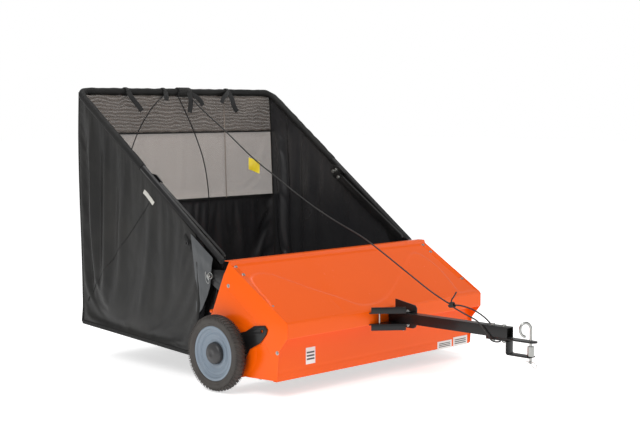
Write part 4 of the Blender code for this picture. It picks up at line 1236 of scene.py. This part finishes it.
# %% Frame tubes and rods
TUBE_RADIUS = 0.0125
TUBE_X = 0.5250
FRAME_CORNER = 0.0480
RAIL_X = 0.5370
UPPER = [(-TUBE_X, 0.0450, 0.4620), (-RAIL_X, 0.9080, 1.0880), (RAIL_X, 0.9080, 1.0880),
         (TUBE_X, 0.0450, 0.4620)]
LOWER = [(-TUBE_X, 0.2150, 0.1260), (-TUBE_X, 0.8620, 0.1700), (TUBE_X, 0.8620, 0.1700),
         (TUBE_X, 0.2150, 0.1260)]


def bent_path(corners, radius, count=14):
    """Straight runs joined by round bends."""
    corners = [Vector(c) for c in corners]
    path = [corners[0]]
    for before, corner, after in zip(corners, corners[1:], corners[2:]):
        back = (before - corner).normalized()
        ahead = (after - corner).normalized()
        half = back.angle(ahead) / 2
        reach = radius / math.tan(half)
        middle = corner + (back + ahead).normalized() * (radius / math.sin(half))
        start = corner + back * reach - middle
        end = corner + ahead * reach - middle
        axis = start.cross(end).normalized()
        turn = start.angle(end)
        path += [middle + Matrix.Rotation(turn * s / count, 3, axis) @ start
                 for s in range(count + 1)]
    path.append(corners[-1])
    return path


upper_path = [at(*p) for p in bent_path(UPPER, FRAME_CORNER)]
lower_path = [at(*p) for p in bent_path(LOWER, FRAME_CORNER)]
upper_tube = tube_piece("upper_frame_tube", upper_path, TUBE_RADIUS, BLACK, "hopper", 32)
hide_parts("upper_frame")
lower_tube = tube_piece("lower_frame_tube", lower_path, TUBE_RADIUS, BLACK, "hopper", 32)
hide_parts("lower_frame")
LEFT_ROD = [(-0.112, 0.8880, 1.072), (-0.185, 0.8830, 1.010), (-0.262, 0.8800, 0.905),
            (-0.318, 0.8760, 0.770), (-0.335, 0.8700, 0.640), (-0.318, 0.8630, 0.480),
            (-0.262, 0.8520, 0.330), (-0.190, 0.8420, 0.205), (-0.178, 0.8400, 0.186)]
RIGHT_ROD = [(-0.030, 0.8880, 1.072), (0.024, 0.8830, 0.975), (0.070, 0.8800, 0.880),
             (0.106, 0.8760, 0.780), (0.124, 0.8700, 0.660), (0.120, 0.8620, 0.540),
             (0.098, 0.8540, 0.400), (0.055, 0.8450, 0.260), (0.030, 0.8400, 0.186)]
for name, route in (("spring_rod_left", LEFT_ROD), ("spring_rod_right", RIGHT_ROD)):
    rod = tube_piece(name + "_wire", spline_points([at(*p) for p in route], 0.008), 0.0025,
                     BLACK, "hopper", 12)
    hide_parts(name)

# %% [markdown]
# ## Hopper bag
# The bag is sewn from flat panels of coated cloth: two sides, a back with a mesh window,
# a floor and two small flaps at the front. Each panel starts as a grid between its four
# edges. Cloth simulation then shapes every panel but the flaps: the edges are pinned where
# they are sewn or held by a tube, and the cloth is given a little spare width, so that it
# sags and creases. The flaps only get a small crumple.

# %% Grid panels


def resampled(points, count):
    points = [Vector(p) for p in points]
    lengths = [0.0]
    for a, b in zip(points, points[1:]):
        lengths.append(lengths[-1] + (b - a).length)
    spots = []
    for step in range(count):
        target = lengths[-1] * step / (count - 1)
        index = max(i for i, value in enumerate(lengths[:-1]) if value <= target + 1e-9)
        span = lengths[index + 1] - lengths[index]
        spots.append(points[index].lerp(points[index + 1], (target - lengths[index]) / span))
    return spots


def coons_grid(bottom, top, start, end, across, upwards):
    """Smooth patch between four edges: rows of points from bottom to top."""
    low, high = resampled(bottom, across), resampled(top, across)
    left, right = resampled(start, upwards), resampled(end, upwards)
    rows = []
    for j in range(upwards):
        v = j / (upwards - 1)
        row = []
        for i in range(across):
            u = i / (across - 1)
            ruled = low[i].lerp(high[i], v) + left[j].lerp(right[j], u)
            corner = (low[0].lerp(low[-1], u)).lerp(high[0].lerp(high[-1], u), v)
            row.append(ruled - corner)
        rows.append(row)
    return rows


def cloth_panel(name, rows, outward, shift=None):
    """Grid mesh with UVs in metres of cloth; shift moves each point before it is sewn."""
    outward = Vector(outward)
    shape = bmesh.new()
    uv = shape.loops.layers.uv.new("UVMap")
    spots = {}
    grid = []
    width = sum((b - a).length for a, b in zip(rows[len(rows) // 2], rows[len(rows) // 2][1:]))
    middle = len(rows[0]) // 2
    height = sum((b[middle] - a[middle]).length for a, b in zip(rows, rows[1:]))
    for j, row in enumerate(rows):
        line = []
        for i, point in enumerate(row):
            moved = point + (shift(point) if shift else Vector((0, 0, 0)))
            vertex = shape.verts.new(moved)
            spots[vertex] = (width * i / (len(row) - 1), height * j / (len(rows) - 1))
            line.append(vertex)
        grid.append(line)
    for low, high in zip(grid, grid[1:]):
        for i in range(len(low) - 1):
            face = shape.faces.new((low[i], low[i + 1], high[i + 1], high[i]))
            for loop in face.loops:
                loop[uv].uv = spots[loop.vert]
    shape.normal_update()
    if sum((f.normal.dot(outward) for f in shape.faces)) < 0:
        bmesh.ops.reverse_faces(shape, faces=shape.faces)
    mesh = mesh_of(shape, name)
    made = bpy.data.objects.new(name, mesh)
    bpy.context.scene.collection.objects.link(made)
    return made


def sew(made, pinned, spare, frames, most, gravity=1.0):
    """Cloth simulation of one panel; pinned(point) says how firmly the cloth is held there.
    No vertex ends further than `most` from where it starts."""
    start = [v.co.copy() for v in made.data.vertices]
    group = made.vertex_groups.new(name="sewn")
    for index in range(len(start)):
        group.add([index], pinned(start[index]), "REPLACE")
    fabric = made.modifiers.new("cloth", "CLOTH")
    settings = fabric.settings
    settings.quality = 6
    settings.mass = 0.35
    settings.air_damping = 3.0
    settings.tension_stiffness = settings.compression_stiffness = 28
    settings.shear_stiffness = 12
    settings.bending_stiffness = 0.35
    settings.vertex_group_mass = "sewn"
    settings.shrink_min = -spare
    settings.effector_weights.gravity = gravity
    fabric.collision_settings.use_collision = False
    fabric.point_cache.frame_start, fabric.point_cache.frame_end = 1, frames
    for step in range(1, frames + 1):
        bpy.context.scene.frame_set(step)
    settle(made)
    bpy.context.scene.frame_set(1)
    for vertex, before in zip(made.data.vertices, start):
        move = vertex.co - before
        if move.length > most:
            vertex.co = before + move * (most / move.length)


def hem_and_line(made, thick, looks, body, subdivisions=1):
    """Give the cloth its thickness, with the inside's own finish, and smooth it."""
    for look in looks:
        made.data.materials.append(look)
    if subdivisions:
        smoother = made.modifiers.new("smooth", "SUBSURF")
        smoother.levels = smoother.render_levels = subdivisions
    wall = made.modifiers.new("thickness", "SOLIDIFY")
    wall.thickness = thick
    wall.offset = -1
    wall.material_offset = len(looks) - 1
    settle(made)
    made.data.shade_smooth()
    made.data.set_sharp_from_angle(angle=math.radians(60))
    if body:
        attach(made, body)


def edge_share(point, lines, reach):
    """1 on any of the lines, falling to 0 at the reach from them."""
    best = 1e9
    for a, b in lines:
        run = b - a
        t = max(0.0, min(1.0, (point - a).dot(run) / run.length_squared))
        best = min(best, (point - a - run * t).length)
    return max(0.0, 1 - best / reach)


def line_pairs(*edges):
    return [(Vector(a), Vector(b)) for edge in edges for a, b in zip(edge, edge[1:])]


# %% Side panels
BAG_IN = BAG_OUT - 0.0015
FOOT_FRONT, FOOT_REAR = (0.2020, 0.1060), (0.8775, 0.1490)
HEAD_REAR = (0.9040, 1.0840)
HEAD_HALF = 0.5330
SIDE_FOLDS = [((0.885, 1.02), (0.862, 0.20), 0.0085, 0.013),
              ((0.850, 1.00), (0.835, 0.22), -0.0110, 0.017),
              ((0.812, 0.98), (0.800, 0.22), 0.0110, 0.015),
              ((0.765, 0.94), (0.770, 0.26), -0.0100, 0.020),
              ((0.715, 0.91), (0.735, 0.20), 0.0085, 0.018),
              ((0.650, 0.86), (0.690, 0.30), -0.0080, 0.024),
              ((0.570, 0.78), (0.655, 0.45), 0.0060, 0.022),
              ((0.430, 0.64), (0.520, 0.16), 0.0035, 0.034),
              ((0.300, 0.56), (0.360, 0.20), -0.0035, 0.036)]


def ridge_height(y, z, folds):
    """Sum of soft ridges, each along a line with its own height and width."""
    total = 0.0
    for (ya, za), (yb, zb), height, width in folds:
        run = Vector((yb - ya, zb - za))
        t = ((y - ya) * run.x + (z - za) * run.y) / run.length_squared
        t_in = max(0.0, min(1.0, t))
        away = math.hypot(y - ya - run.x * t_in, z - za - run.y * t_in)
        fade = max(0.0, 1 - abs(2 * t_in - 1) ** 3)
        total += height * math.exp(-(away / width) ** 2) * fade
    return total


def side_edges(side):
    x = side * BAG_IN
    bottom = [at(x, *FOOT_FRONT), at(x, *FOOT_REAR)]
    top = [at(side * 0.5420, 0.1810, 0.5560), at(side * 0.5420, 0.8500, 1.0430),
           at(side * HEAD_HALF, *HEAD_REAR)]
    front = spline_points([at(x, *FOOT_FRONT), at(x, 0.1560, 0.2450), at(x, 0.1500, 0.3900),
                           at(side * 0.5420, 0.1810, 0.5560)], 0.02)
    rear = spline_points([at(x, FOOT_REAR[0] + 0.004, FOOT_REAR[1]),
                          at(side * (BAG_IN - 0.004), 0.8790, 0.1900),
                          at(side * (BAG_IN - 0.006), 0.8830, 0.4000),
                          at(side * 0.5430, 0.8950, 0.7000), at(side * 0.5400, 0.9010, 0.9000),
                          at(side * HEAD_HALF, *HEAD_REAR)], 0.02)
    return bottom, top, front, rear


def build_side_panel(side, name):
    bottom, top, front, rear = side_edges(side)
    rows = coons_grid(bottom, top, front, rear, 84, 84)
    seams = line_pairs(bottom, top, front, rear)

    def shift(point):
        y, z = point.y - AXLE_Y, point.z
        free = 1 - edge_share(point, seams, 0.045) ** 2
        creases = noise.fractal(Vector((y * 9, z * 5, 4.0 + side)), 1.0, 2.0, 3)
        fold = ridge_height(y, z, SIDE_FOLDS) + 0.0022 * creases
        return Vector((side * fold * free, 0, 0))

    made = cloth_panel("bag_side_cloth_" + name, rows, (side, 0, 0), shift)
    sew(made, lambda p: 1.0 if edge_share(p, seams, 0.012) > 0 else 0.0, 0.004, 18, 0.008,
        0.3)
    hem_and_line(made, 0.0012, [VINYL, VINYL_INSIDE], "hopper")
    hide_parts("bag_side_" + name)
    return made


side_panels = {name: build_side_panel(side, name) for side, name in SIDES}

# %% [markdown]
# The back wall is coated cloth up to a seam, then a window of single open mesh, then a
# band where the mesh is double. The floor is one more panel. Mesh lets light through, so
# its material has gaps between the threads and the two layers show a moving pattern.

# %% Back wall, window and floor
BACK_FOOT, BACK_HEAD = Vector((0.8775, 0.1500)), Vector((0.9100, 1.0830))
MESH_SILL, DOUBLE_SILL = 0.6170, 0.9150


def back_point(x, z, lift=0.0):
    share = (z - BACK_FOOT.y) / (BACK_HEAD.y - BACK_FOOT.y)
    return at(x, BACK_FOOT.x + share * (BACK_HEAD.x - BACK_FOOT.x) + lift, z)


def back_half(z):
    """Half the back wall's width at a height: it narrows towards the bent top tube."""
    heights = (0.15, 0.40, 0.70, 0.90, 1.084)
    widths = (BAG_IN - 0.003, BAG_IN - 0.009, 0.5410, 0.5380, HEAD_HALF - 0.002)
    return float(np.interp(z, heights, widths))


def build_back(name, low, high, rows_up, look, spare, billow, thick, lift=0.0):
    bottom = [back_point(-back_half(low), low, lift), back_point(back_half(low), low, lift)]
    top = [back_point(-back_half(high), high, lift), back_point(back_half(high), high, lift)]
    levels = [low + (high - low) * step / 8 for step in range(9)]
    left = [back_point(-back_half(z), z, lift) for z in levels]
    right = [back_point(back_half(z), z, lift) for z in levels]
    rows = coons_grid(bottom, top, left, right, 96, rows_up)
    seams = line_pairs(bottom, top, left, right)

    def shift(point):
        free = 1 - edge_share(point, seams, 0.05) ** 2
        creases = noise.fractal(Vector((point.x * 7, point.z * 9, low)), 1.0, 2.0, 3)
        ridges = 1 - abs(noise.noise(Vector((point.x * 5, point.z * 3 + point.x * 2, 1.0)))) * 4
        return Vector((0, free * billow * (1 + 0.6 * creases + 0.8 * max(ridges, 0) ** 2), 0))

    made = cloth_panel(name, rows, (0, 1, 0), shift)
    sew(made, lambda p: 1.0 if edge_share(p, seams, 0.013) > 0 else 0.0, spare, 20, 0.012,
        0.5)
    hem_and_line(made, thick, look, "hopper", 1 if spare > 0.004 else 0)
    return made


back_cloth = build_back("bag_back_cloth", BACK_FOOT.y, MESH_SILL, 44, [VINYL, VINYL_INSIDE],
                        0.016, 0.008, 0.0012)
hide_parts("bag_back")
window = build_back("bag_window_net", MESH_SILL, BACK_HEAD.y, 48, [NET], 0.003, 0.0015,
                    0.0004)
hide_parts("bag_window")
# The inner layer has the darker mesh colour, painted shade over the double band.
build_back("bag_window_net_inner", DOUBLE_SILL, BACK_HEAD.y, 24, [NET_DOUBLE_SHADED], 0.003, 0.0015,
           0.0004, -0.0035)


def build_floor_panel():
    half = BAG_IN - 0.0030
    front = [at(-half, 0.2020, 0.1050), at(half, 0.2020, 0.1050)]
    rear = [at(-half, 0.8760, 0.1505), at(half, 0.8760, 0.1505)]
    sides = [[front[0], rear[0]], [front[1], rear[1]]]
    rows = coons_grid(front, rear, sides[0], sides[1], 80, 50)
    seams = line_pairs(front, rear, *sides)

    def shift(point):
        free = 1 - edge_share(point, seams, 0.06) ** 2
        creases = noise.fractal(Vector((point.x * 5, point.y * 6, 2.0)), 1.0, 2.0, 3)
        return Vector((0, 0, free * (-0.005 + 0.003 * creases)))

    made = cloth_panel("bag_floor_cloth", rows, (0, 0, -1), shift)
    sew(made, lambda p: 1.0 if edge_share(p, seams, 0.014) > 0 else 0.0, 0.008, 16, 0.010)
    hem_and_line(made, 0.0012, [VINYL, VINYL_INSIDE], "hopper", 0)
    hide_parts("bag_floor")


build_floor_panel()

# %% [markdown]
# The cloth is sewn into sleeves that slide over the upper tube, and its edges are bound
# with a folded tape. Sleeves and tapes are flattened tubes on the same paths.

# %% Sleeves and bindings
SLEEVE_END = at(0, 0.498, 0)
sleeve_path = [p for p in upper_path if p.y > SLEEVE_END.y]
slope = (upper_path[1] - upper_path[0]).normalized()
first = upper_path[0] + slope * ((SLEEVE_END.y - upper_path[0].y) / slope.y)
last = Vector((-first.x, first.y, first.z))
sleeve_path = [first] + sleeve_path + [last]
dense = []
for a, b in zip(sleeve_path, sleeve_path[1:]):
    count = max(1, round((b - a).length / 0.008))
    dense += [a.lerp(b, step / count) for step in range(count)]
dense.append(sleeve_path[-1])


def sleeve_wobble(share):
    along = share * 46.0
    return 1.0 + 0.10 * noise.noise(Vector((along, 0.3, 1.7))) + 0.03 * math.sin(along * 5)


SLEEVE_RADIUS = 0.0152
tube_piece("bag_top_sleeve", dense, SLEEVE_RADIUS, BINDING, "hopper", 28, taper=sleeve_wobble)


def tape(name, points, width, look=None, squash=0.30, up=None):
    path = spline_points([Vector(p) for p in points], 0.010)
    return tube_piece(name, path, width / 2, look or BINDING, "hopper", 14, squash=squash,
                      up=up)


for side, name in SIDES:
    bottom, _, front, rear = side_edges(side)
    out = Vector((side * 0.0008, 0, 0))
    tape("bottom_binding_" + name, [p + out for p in resampled(bottom, 12)], 0.0160,
         up=Vector((side, 0, 0)))
    tape("front_binding_" + name, [p + out for p in resampled(front, 14)], 0.0130,
         up=Vector((side, 0, 0)))
    tape("corner_binding_" + name, [p + Vector((-side * 0.001, 0.001, 0)) for p in
                                    resampled(rear, 16)], 0.0090, squash=0.7)
for name, z, width in (("back_bottom", 0.1500, 0.0160), ("window_sill", MESH_SILL, 0.0120),
                       ("window_band", DOUBLE_SILL, 0.0120)):
    edge = [back_point(-back_half(z), z), back_point(back_half(z), z)]
    tape(name + "_binding", resampled(edge, 24), width, up=Vector((0, 1, 0)))
tape("window_seam_binding", resampled([back_point(0.252, MESH_SILL, -0.0012),
                                       back_point(0.252, 1.0700, -0.0012)], 12), 0.0070, NET,
     up=Vector((0, 1, 0)))

# %% Front flaps


def build_flap(side, name):
    x = side * (BAG_IN - 0.0010)
    rear = [at(x, 0.1640, 0.2500), at(x, 0.1700, 0.4000), at(x, 0.1950, 0.5560)]
    front = [at(x, 0.1270, 0.2830), at(x, 0.1050, 0.3200), at(x, 0.0840, 0.3660),
             at(x, 0.0770, 0.4100), at(x, 0.0700, 0.4740)]
    bottom = [front[0], rear[0]]
    top = [front[-1], rear[-1]]
    rows = coons_grid(bottom, top, front, rear, 18, 36)
    seams = line_pairs(rear, top)

    def shift(point):
        free = 1 - edge_share(point, seams, 0.03)
        crease = noise.fractal(Vector((point.y * 26, point.z * 14, 5.0)), 1.0, 2.0, 2)
        return Vector((side * free * (0.0035 + 0.0035 * crease), 0, 0))

    made = cloth_panel("bag_flap_" + name, rows, (side, 0, 0), shift)
    hem_and_line(made, 0.0012, [FLAP_CLOTH, VINYL_INSIDE], "hopper")


for side, name in SIDES:
    build_flap(side, name)

# %% [markdown]
# ## Ties and winding
# Webbing ties hold the sleeve to the top rail. Their tails hang and lean in different
# ways, so each is a short route of its own. A few turns of rope are wound on the rail.

# %% Webbing ties


def ribbon(name, points, width, look, body, facing=(0, 1, 0)):
    """Flat strap along a route, with its face towards the given direction."""
    path = spline_points([at(*p) for p in points], 0.006)
    return tube_piece(name, path, width / 2, look, body, 12, squash=0.11, up=Vector(facing))


RAIL_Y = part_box("upper_frame")[1].y - AXLE_Y - TUBE_RADIUS
RAIL_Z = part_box("upper_frame")[1].z - TUBE_RADIUS
LOOP_RADIUS = 0.0178
TIE_TAILS = {
    "tie_a": [(-0.300, 0.886, 1.092), (-0.292, 0.878, 1.070), (-0.272, 0.874, 1.045),
              (-0.252, 0.872, 1.022), (-0.240, 0.870, 1.008)],
    "tie_b": [(-0.100, 0.886, 1.090), (-0.102, 0.878, 1.070), (-0.104, 0.876, 1.052)],
    "tie_c": [(0.028, 0.884, 1.088), (0.030, 0.874, 1.060), (0.028, 0.872, 1.030),
              (0.022, 0.872, 1.000)],
    "tie_d": [(0.045, 0.886, 1.080), (0.065, 0.874, 1.066), (0.085, 0.872, 1.050),
              (0.098, 0.872, 1.030)],
    "tie_e": [(0.262, 0.886, 1.090), (0.238, 0.876, 1.078), (0.216, 0.872, 1.060),
              (0.208, 0.872, 1.042)],
    "tie_f": [(0.262, 0.888, 1.090), (0.272, 0.876, 1.062), (0.280, 0.872, 1.030),
              (0.300, 0.872, 1.002)]}
for name, route in TIE_TAILS.items():
    ribbon(name, route, 0.0210, WEBBING, "hopper", (-0.3, -1, 0))
for index, x in enumerate((-0.300, -0.100, 0.035, 0.262)):
    loop = [at(x, RAIL_Y + LOOP_RADIUS * math.cos(a), RAIL_Z + LOOP_RADIUS * math.sin(a))
            for a in [2 * math.pi * step / 36 for step in range(37)]]
    tube_piece("tie_loop_%d" % index, loop, 0.0080, WEBBING, "hopper", 12, squash=0.16,
               up=Vector((0, 1, 0)))

# %% Rope turns on the rail and the tag
tube_piece("rail_winding", wound(at(0.008, RAIL_Y, RAIL_Z), (1, 0, 0), 0.0188, 9, 0.0075),
           0.0024, BRAID, "hopper", 10)


def build_tag():
    """Folded film tag hanging on the rope."""
    place = at(0.013, 0.452, 0.8080)
    rows = []
    for j in range(14):
        v = j / 13
        row = []
        for i in range(12):
            u = i / 11 - 0.5
            wave = 0.006 * math.sin(5.0 * u + 2.5 * v) * v
            row.append(place + Vector((0.030 * u + wave, -0.034 * u + wave, -0.050 * v
                                       - 0.018 * u)))
        rows.append(row)
    made = cloth_panel("rope_tag", rows, (-1, -1, 0))
    hem_and_line(made, 0.0006, [TAG], None, 1)
    return made


rope_tag = build_tag()

# %% [markdown]
# ## Stitching
# Seams are rows of short stitches. Each row follows an edge, a little way in from it.

# %% Stitches


def stitch_mesh():
    shape = bmesh.new()
    bmesh.ops.create_icosphere(shape, subdivisions=1, radius=1,
                               matrix=Matrix.Diagonal((0.0021, 0.0006, 0.0006, 1)))
    mesh = mesh_of(shape, "stitch")
    mesh.uv_layers.new(name="UVMap")
    return mesh


def stitch_row(points, facing, pitch=0.0060):
    path = resampled(points, 2 + int(sum((Vector(b) - Vector(a)).length
                                         for a, b in zip(points, points[1:])) / pitch))
    spots = []
    for index, point in enumerate(path[:-1]):
        spots.append((point, tuple(facing), tuple((path[index + 1] - point).normalized())))
    return spots


stitches = []
for side in (-1, 1):
    bottom = side_edges(side)[0]
    out = Vector((side * 0.0034, 0, 0))
    for rise in (-0.0045, 0.0045):
        stitches += stitch_row([p + out + Vector((0, 0, rise)) for p in bottom], (side, 0, 0))
for z in (MESH_SILL, DOUBLE_SILL):
    for face in (-1, 1):
        for rise in (-0.003, 0.003):
            edge = [back_point(-back_half(z), z + rise, face * 0.0020),
                    back_point(back_half(z), z + rise, face * 0.0020)]
            stitches += stitch_row(edge, (0, face, 0))
scattered("bag_stitches", stitches, stitch_mesh(), THREAD, "hopper")

# %% Eyelets
eyelet = mesh_of(turned_mesh([(0.0045, 0.0004), (0.0050, 0.0018), (0.0068, 0.0022),
                              (0.0088, 0.0012), (0.0090, -0.0010), (0.0045, -0.0010)],
                             (0, 0, 0), (0, 0, 1), 24, closed=True), "eyelet")
EYELET = (0.211, 0.520)
eyelet_spots = [(at(side * (BAG_IN + 0.0030), *EYELET), (side, 0, 0), (0, 0, 1))
                for side, _ in SIDES]
scattered("bag_eyelets", eyelet_spots, eyelet, BLACK, "hopper")

# %% [markdown]
# Each side has one long seam that runs down from the webbing slot, a stitched patch round
# that slot and a strap tab. They lie on the finished cloth, so each point of their routes
# is moved to the nearest place on the panel.

# %% Details laid on the side panels


def on_cloth(panel, point, side, lift):
    """Point of the panel's outer face straight beside the given one."""
    start = Vector((side * 0.70, point.y, point.z))
    hit, place, _, _ = panel.ray_cast(start, Vector((-side, 0, 0)))
    return place + Vector((side * lift, 0, 0)) if hit else point


CLOTH_DETAILS = {
    "side_seam": ([(0.430, 0.672), (0.520, 0.580), (0.630, 0.470), (0.720, 0.385),
                   (0.800, 0.300), (0.850, 0.235)], 0.0044, 0.0007, BINDING),
    "slot_patch": ([(0.478, 0.700), (0.455, 0.686), (0.430, 0.668), (0.417, 0.655)],
                   0.0180, 0.0008, NYLON),
    "strap_tab": ([(0.236, 0.548), (0.214, 0.522), (0.190, 0.494), (0.176, 0.490)],
                  0.0190, 0.0016, BINDING)}
for side, name in SIDES:
    for detail, (route, width, lift, look) in CLOTH_DETAILS.items():
        line = [on_cloth(side_panels[name], p, side, lift)
                for p in resampled([at(side * BAG_IN, *spot) for spot in route], 24)]
        tube_piece(detail + "_" + name, line, width / 2, look, "hopper", 12, squash=0.14,
                   up=Vector((side, 0, 0)))

# %% [markdown]
# ## Brush
# Four rows of stiff nylon bristles stand on the brush core. Each row is a long strip of
# small tufts; a tuft is a few thin tapered bristles that lean apart.

# %% Bristle rows
SEED = 7
random.seed(SEED)
CORE_REACH = 0.0333
BRUSH_RADIUS = 0.1360
BRUSH_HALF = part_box("bristle_row_1")[1].x


def tuft_mesh():
    shape = bmesh.new()
    length = BRUSH_RADIUS - CORE_REACH - 0.001
    for index in range(6):
        tilt = Matrix.Rotation(random.uniform(-0.045, 0.045), 4, "X")
        swing = Matrix.Rotation(random.uniform(-0.045, 0.045), 4, "Y")
        foot = Matrix.Translation((0.0016 * (index % 3 - 1), 0.0035 * (index // 3 - 0.5), 0))
        bmesh.ops.create_cone(shape, cap_ends=True, segments=5, radius1=0.0011,
                              radius2=0.0006, depth=length,
                              matrix=foot @ tilt @ swing
                              @ Matrix.Translation((0, 0, length / 2)))
    return mesh_of(shape, "tuft")


shaft = at(0, SHAFT_Y, SHAFT_Z)
for row in range(4):
    a = (row + 0.5) * math.pi / 2
    outward = Vector((0, -math.sin(a), math.cos(a)))
    ahead = Vector((1, 0, 0))
    spots = []
    x = -BRUSH_HALF + 0.004
    while x < BRUSH_HALF - 0.004:
        spots.append((shaft + outward * CORE_REACH + Vector((x, 0, 0)), tuple(outward),
                      (1, 0, 0)))
        x += 0.0058
    made = scattered("bristles_%d" % (row + 1), spots, tuft_mesh(), BRISTLE, "brush")
    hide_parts("bristle_row_%d" % (row + 1))

# %% [markdown]
# ## Finishing the rope
# The rope crosses the hinge between the housing and the hopper. It belongs to neither
# body, and its placement is baked into its mesh, as is the tag's.

# %% Finish
for made in (rope, rope_tag):
    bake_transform(made)
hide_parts("pull_rope")
